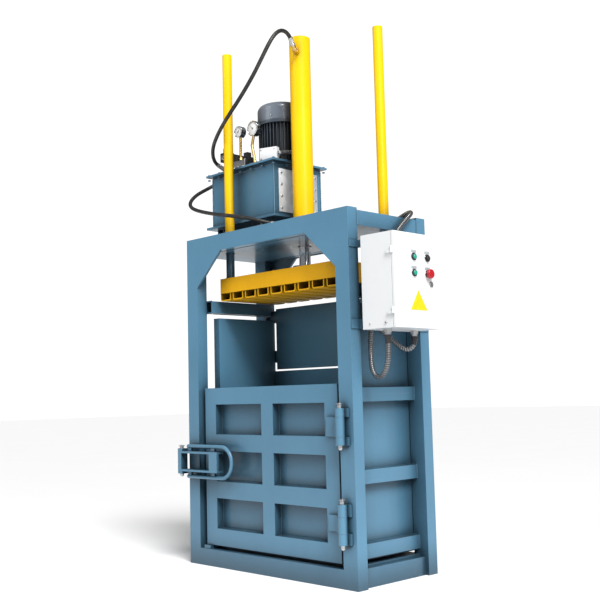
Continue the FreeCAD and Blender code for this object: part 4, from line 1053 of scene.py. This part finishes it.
# ---------------------------------------------------------------- stage
def camera_frame(stage):
    """World matrix of the camera from its place, turn, tilt and roll."""
    turn, tilt, roll = stage.camera_turn, stage.camera_tilt, stage.camera_roll
    ahead = Vector((-math.sin(turn) * math.cos(tilt), math.cos(turn) * math.cos(tilt), math.sin(tilt)))
    right = Vector((math.cos(turn), math.sin(turn), 0.0))
    up = right.cross(ahead)
    leaned = right * math.cos(roll) + up * math.sin(roll)
    upright = up * math.cos(roll) - right * math.sin(roll)
    return Matrix.Translation(Vector(stage.camera_place)) @ axes(leaned, upright, -ahead)


KEY_DIRECTION = Vector((0.60, -0.30, 0.74))
LIGHT_TARGET = Vector((0, 0, 1.6))
FLOOR_HALF = 40.0


def add(name, data):
    """Link an object that is part of the stage."""
    thing = bpy.data.objects.new(name, data)
    bpy.context.scene.collection.objects.link(thing)
    return thing


def area_light(name, place, size, watts):
    """Square panel that faces the baler."""
    data = bpy.data.lights.new(name, "AREA")
    data.shape = "SQUARE"
    data.size = size
    data.energy = watts
    light = add(name, data)
    light.location = place
    light.rotation_euler = (LIGHT_TARGET - Vector(place)).to_track_quat("-Z", "Y").to_euler()


def sun_light(name, direction, level, spread):
    """Far light from a direction, as wide in the sky as spread."""
    data = bpy.data.lights.new(name, "SUN")
    data.energy = level
    data.angle = spread
    add(name, data).rotation_euler = direction.to_track_quat("Z", "Y").to_euler()


def white_world(sky, backdrop):
    """Even white surroundings, lit by sky and seen directly as backdrop."""
    world = bpy.data.worlds.new("white_studio")
    graph = Graph(world)
    white = (1.0, 1.0, 1.0, 1.0)
    lit, seen = (graph.node("ShaderNodeBackground", None, {"Color": white, "Strength": level})
                 for level in (sky, backdrop))
    direct = graph.node("ShaderNodeLightPath", output="Is Camera Ray")
    either = graph.node("ShaderNodeMixShader", None, {0: direct, 1: lit, 2: seen})
    graph.node("ShaderNodeOutputWorld", None, {"Surface": either})
    return world


def build_stage():
    """Camera, world, floor and lights."""
    scene = bpy.context.scene
    stage = scene.baler_stage
    data = bpy.data.cameras.new("studio_camera")
    data.lens = stage.camera_lens
    data.sensor_width = 36.0
    data.clip_end = 200.0
    camera = add("studio_camera", data)
    camera.matrix_world = camera_frame(stage)
    scene.camera = camera
    scene.world = white_world(stage.sky, stage.backdrop)
    scene.view_settings.view_transform = "Standard"
    mesh = bpy.data.meshes.new("studio_floor")
    mesh.from_pydata([(-FLOOR_HALF, -FLOOR_HALF, 0), (FLOOR_HALF, -FLOOR_HALF, 0),
                      (FLOOR_HALF, FLOOR_HALF, 0), (-FLOOR_HALF, FLOOR_HALF, 0)], [], [(0, 1, 2, 3)])
    mesh.materials.append(studio_floor())
    floor = add("studio_floor", mesh)
    sun_light("key_light", KEY_DIRECTION, stage.key, stage.key_spread)
    area_light("strip_light", (3.2, -1.2, 2.6), 1.4, stage.strip)
    area_light("fill_light", (-1.4, -3.8, 4.2), 2.0, stage.fill)


# ---------------------------------------------------------------- operators
class BALER_OT_finishes(bpy.types.Operator):
    """Make the finishes and give each solid of the frame its own"""

    bl_idname = "baler.finishes"
    bl_label = "Finishes"

    def execute(self, context):
        make_finishes()
        dress_frame_nodes()
        return {"FINISHED"}


class BALER_OT_stage(bpy.types.Operator):
    """Set up the floor, the studio light and the camera"""

    bl_idname = "baler.stage"
    bl_label = "Stage"

    def execute(self, context):
        build_stage()
        return {"FINISHED"}


class BALER_OT_lines(bpy.types.Operator):
    """Lay the hydraulic hoses and the spiral conduits with their end fittings"""

    bl_idname = "baler.lines"
    bl_label = "Hoses and conduits"

    def execute(self, context):
        hose("upper_hydraulic_hose", "hose_upper", UPPER_HOSE)
        hose("lower_hydraulic_hose", "hose_lower", LOWER_HOSE)
        line = conduit("motor_spiral_conduit", "conduit_motor", MOTOR_CONDUIT)
        conduit("switch_spiral_conduit", "conduit_switch", SWITCH_CONDUIT)
        deck_clips(line)
        return {"FINISHED"}


class BALER_OT_welds(bpy.types.Operator):
    """Lay the weld beads of the frame and the guide tubes"""

    bl_idname = "baler.welds"
    bl_label = "Frame welds"

    def execute(self, context):
        frame_welds()
        return {"FINISHED"}


class BALER_OT_door(bpy.types.Operator):
    """Add the door's beads, knuckle beads and pin washers"""

    bl_idname = "baler.door"
    bl_label = "Door details"

    def execute(self, context):
        door_details()
        return {"FINISHED"}


class BALER_OT_power(bpy.types.Operator):
    """Add the small parts of the tank, motor, valves and gauges"""

    bl_idname = "baler.power"
    bl_label = "Power unit details"

    def execute(self, context):
        tank_details()
        motor_details()
        valve_details()
        gauge_details()
        return {"FINISHED"}


class BALER_OT_controls(bpy.types.Operator):
    """Add the small parts of the control box and the limit switch"""

    bl_idname = "baler.controls"
    bl_label = "Control details"

    def execute(self, context):
        box_details()
        switch_details()
        return {"FINISHED"}


class BALER_OT_platen(bpy.types.Operator):
    """Add the platen's beads and bolts"""

    bl_idname = "baler.platen"
    bl_label = "Platen details"

    def execute(self, context):
        platen_details()
        return {"FINISHED"}


class BALER_PT_dressing(bpy.types.Panel):
    """Lists the steps that dress the baler"""

    bl_label = "Baler"
    bl_idname = "BALER_PT_dressing"
    bl_space_type = "VIEW_3D"
    bl_region_type = "UI"
    bl_category = "Baler"

    def draw(self, context):
        for group in (context.scene.baler_paint, context.scene.baler_lines, context.scene.baler_stage):
            box = self.layout.box()
            for key in type(group).__annotations__:
                box.prop(group, key)
        for step in OPERATORS:
            self.layout.operator(step.bl_idname)


GROUPS = {"baler_paint": BalerPaint, "baler_lines": BalerLines, "baler_stage": BalerStage}
OPERATORS = (BALER_OT_finishes, BALER_OT_stage, BALER_OT_lines, BALER_OT_welds, BALER_OT_door,
             BALER_OT_power, BALER_OT_controls, BALER_OT_platen)


def register():
    for group in GROUPS.values():
        bpy.utils.register_class(group)
    for name, group in GROUPS.items():
        setattr(bpy.types.Scene, name, PointerProperty(type=group))
    for step in OPERATORS:
        bpy.utils.register_class(step)
    bpy.utils.register_class(BALER_PT_dressing)


def unregister():
    bpy.utils.unregister_class(BALER_PT_dressing)
    for step in reversed(OPERATORS):
        bpy.utils.unregister_class(step)
    for name in GROUPS:
        delattr(bpy.types.Scene, name)
    for group in reversed(list(GROUPS.values())):
        bpy.utils.unregister_class(group)


def main():
    register()
    for step in OPERATORS:
        category, name = step.bl_idname.split(".")
        getattr(getattr(bpy.ops, category), name)()


if __name__ == "__main__":
    main()
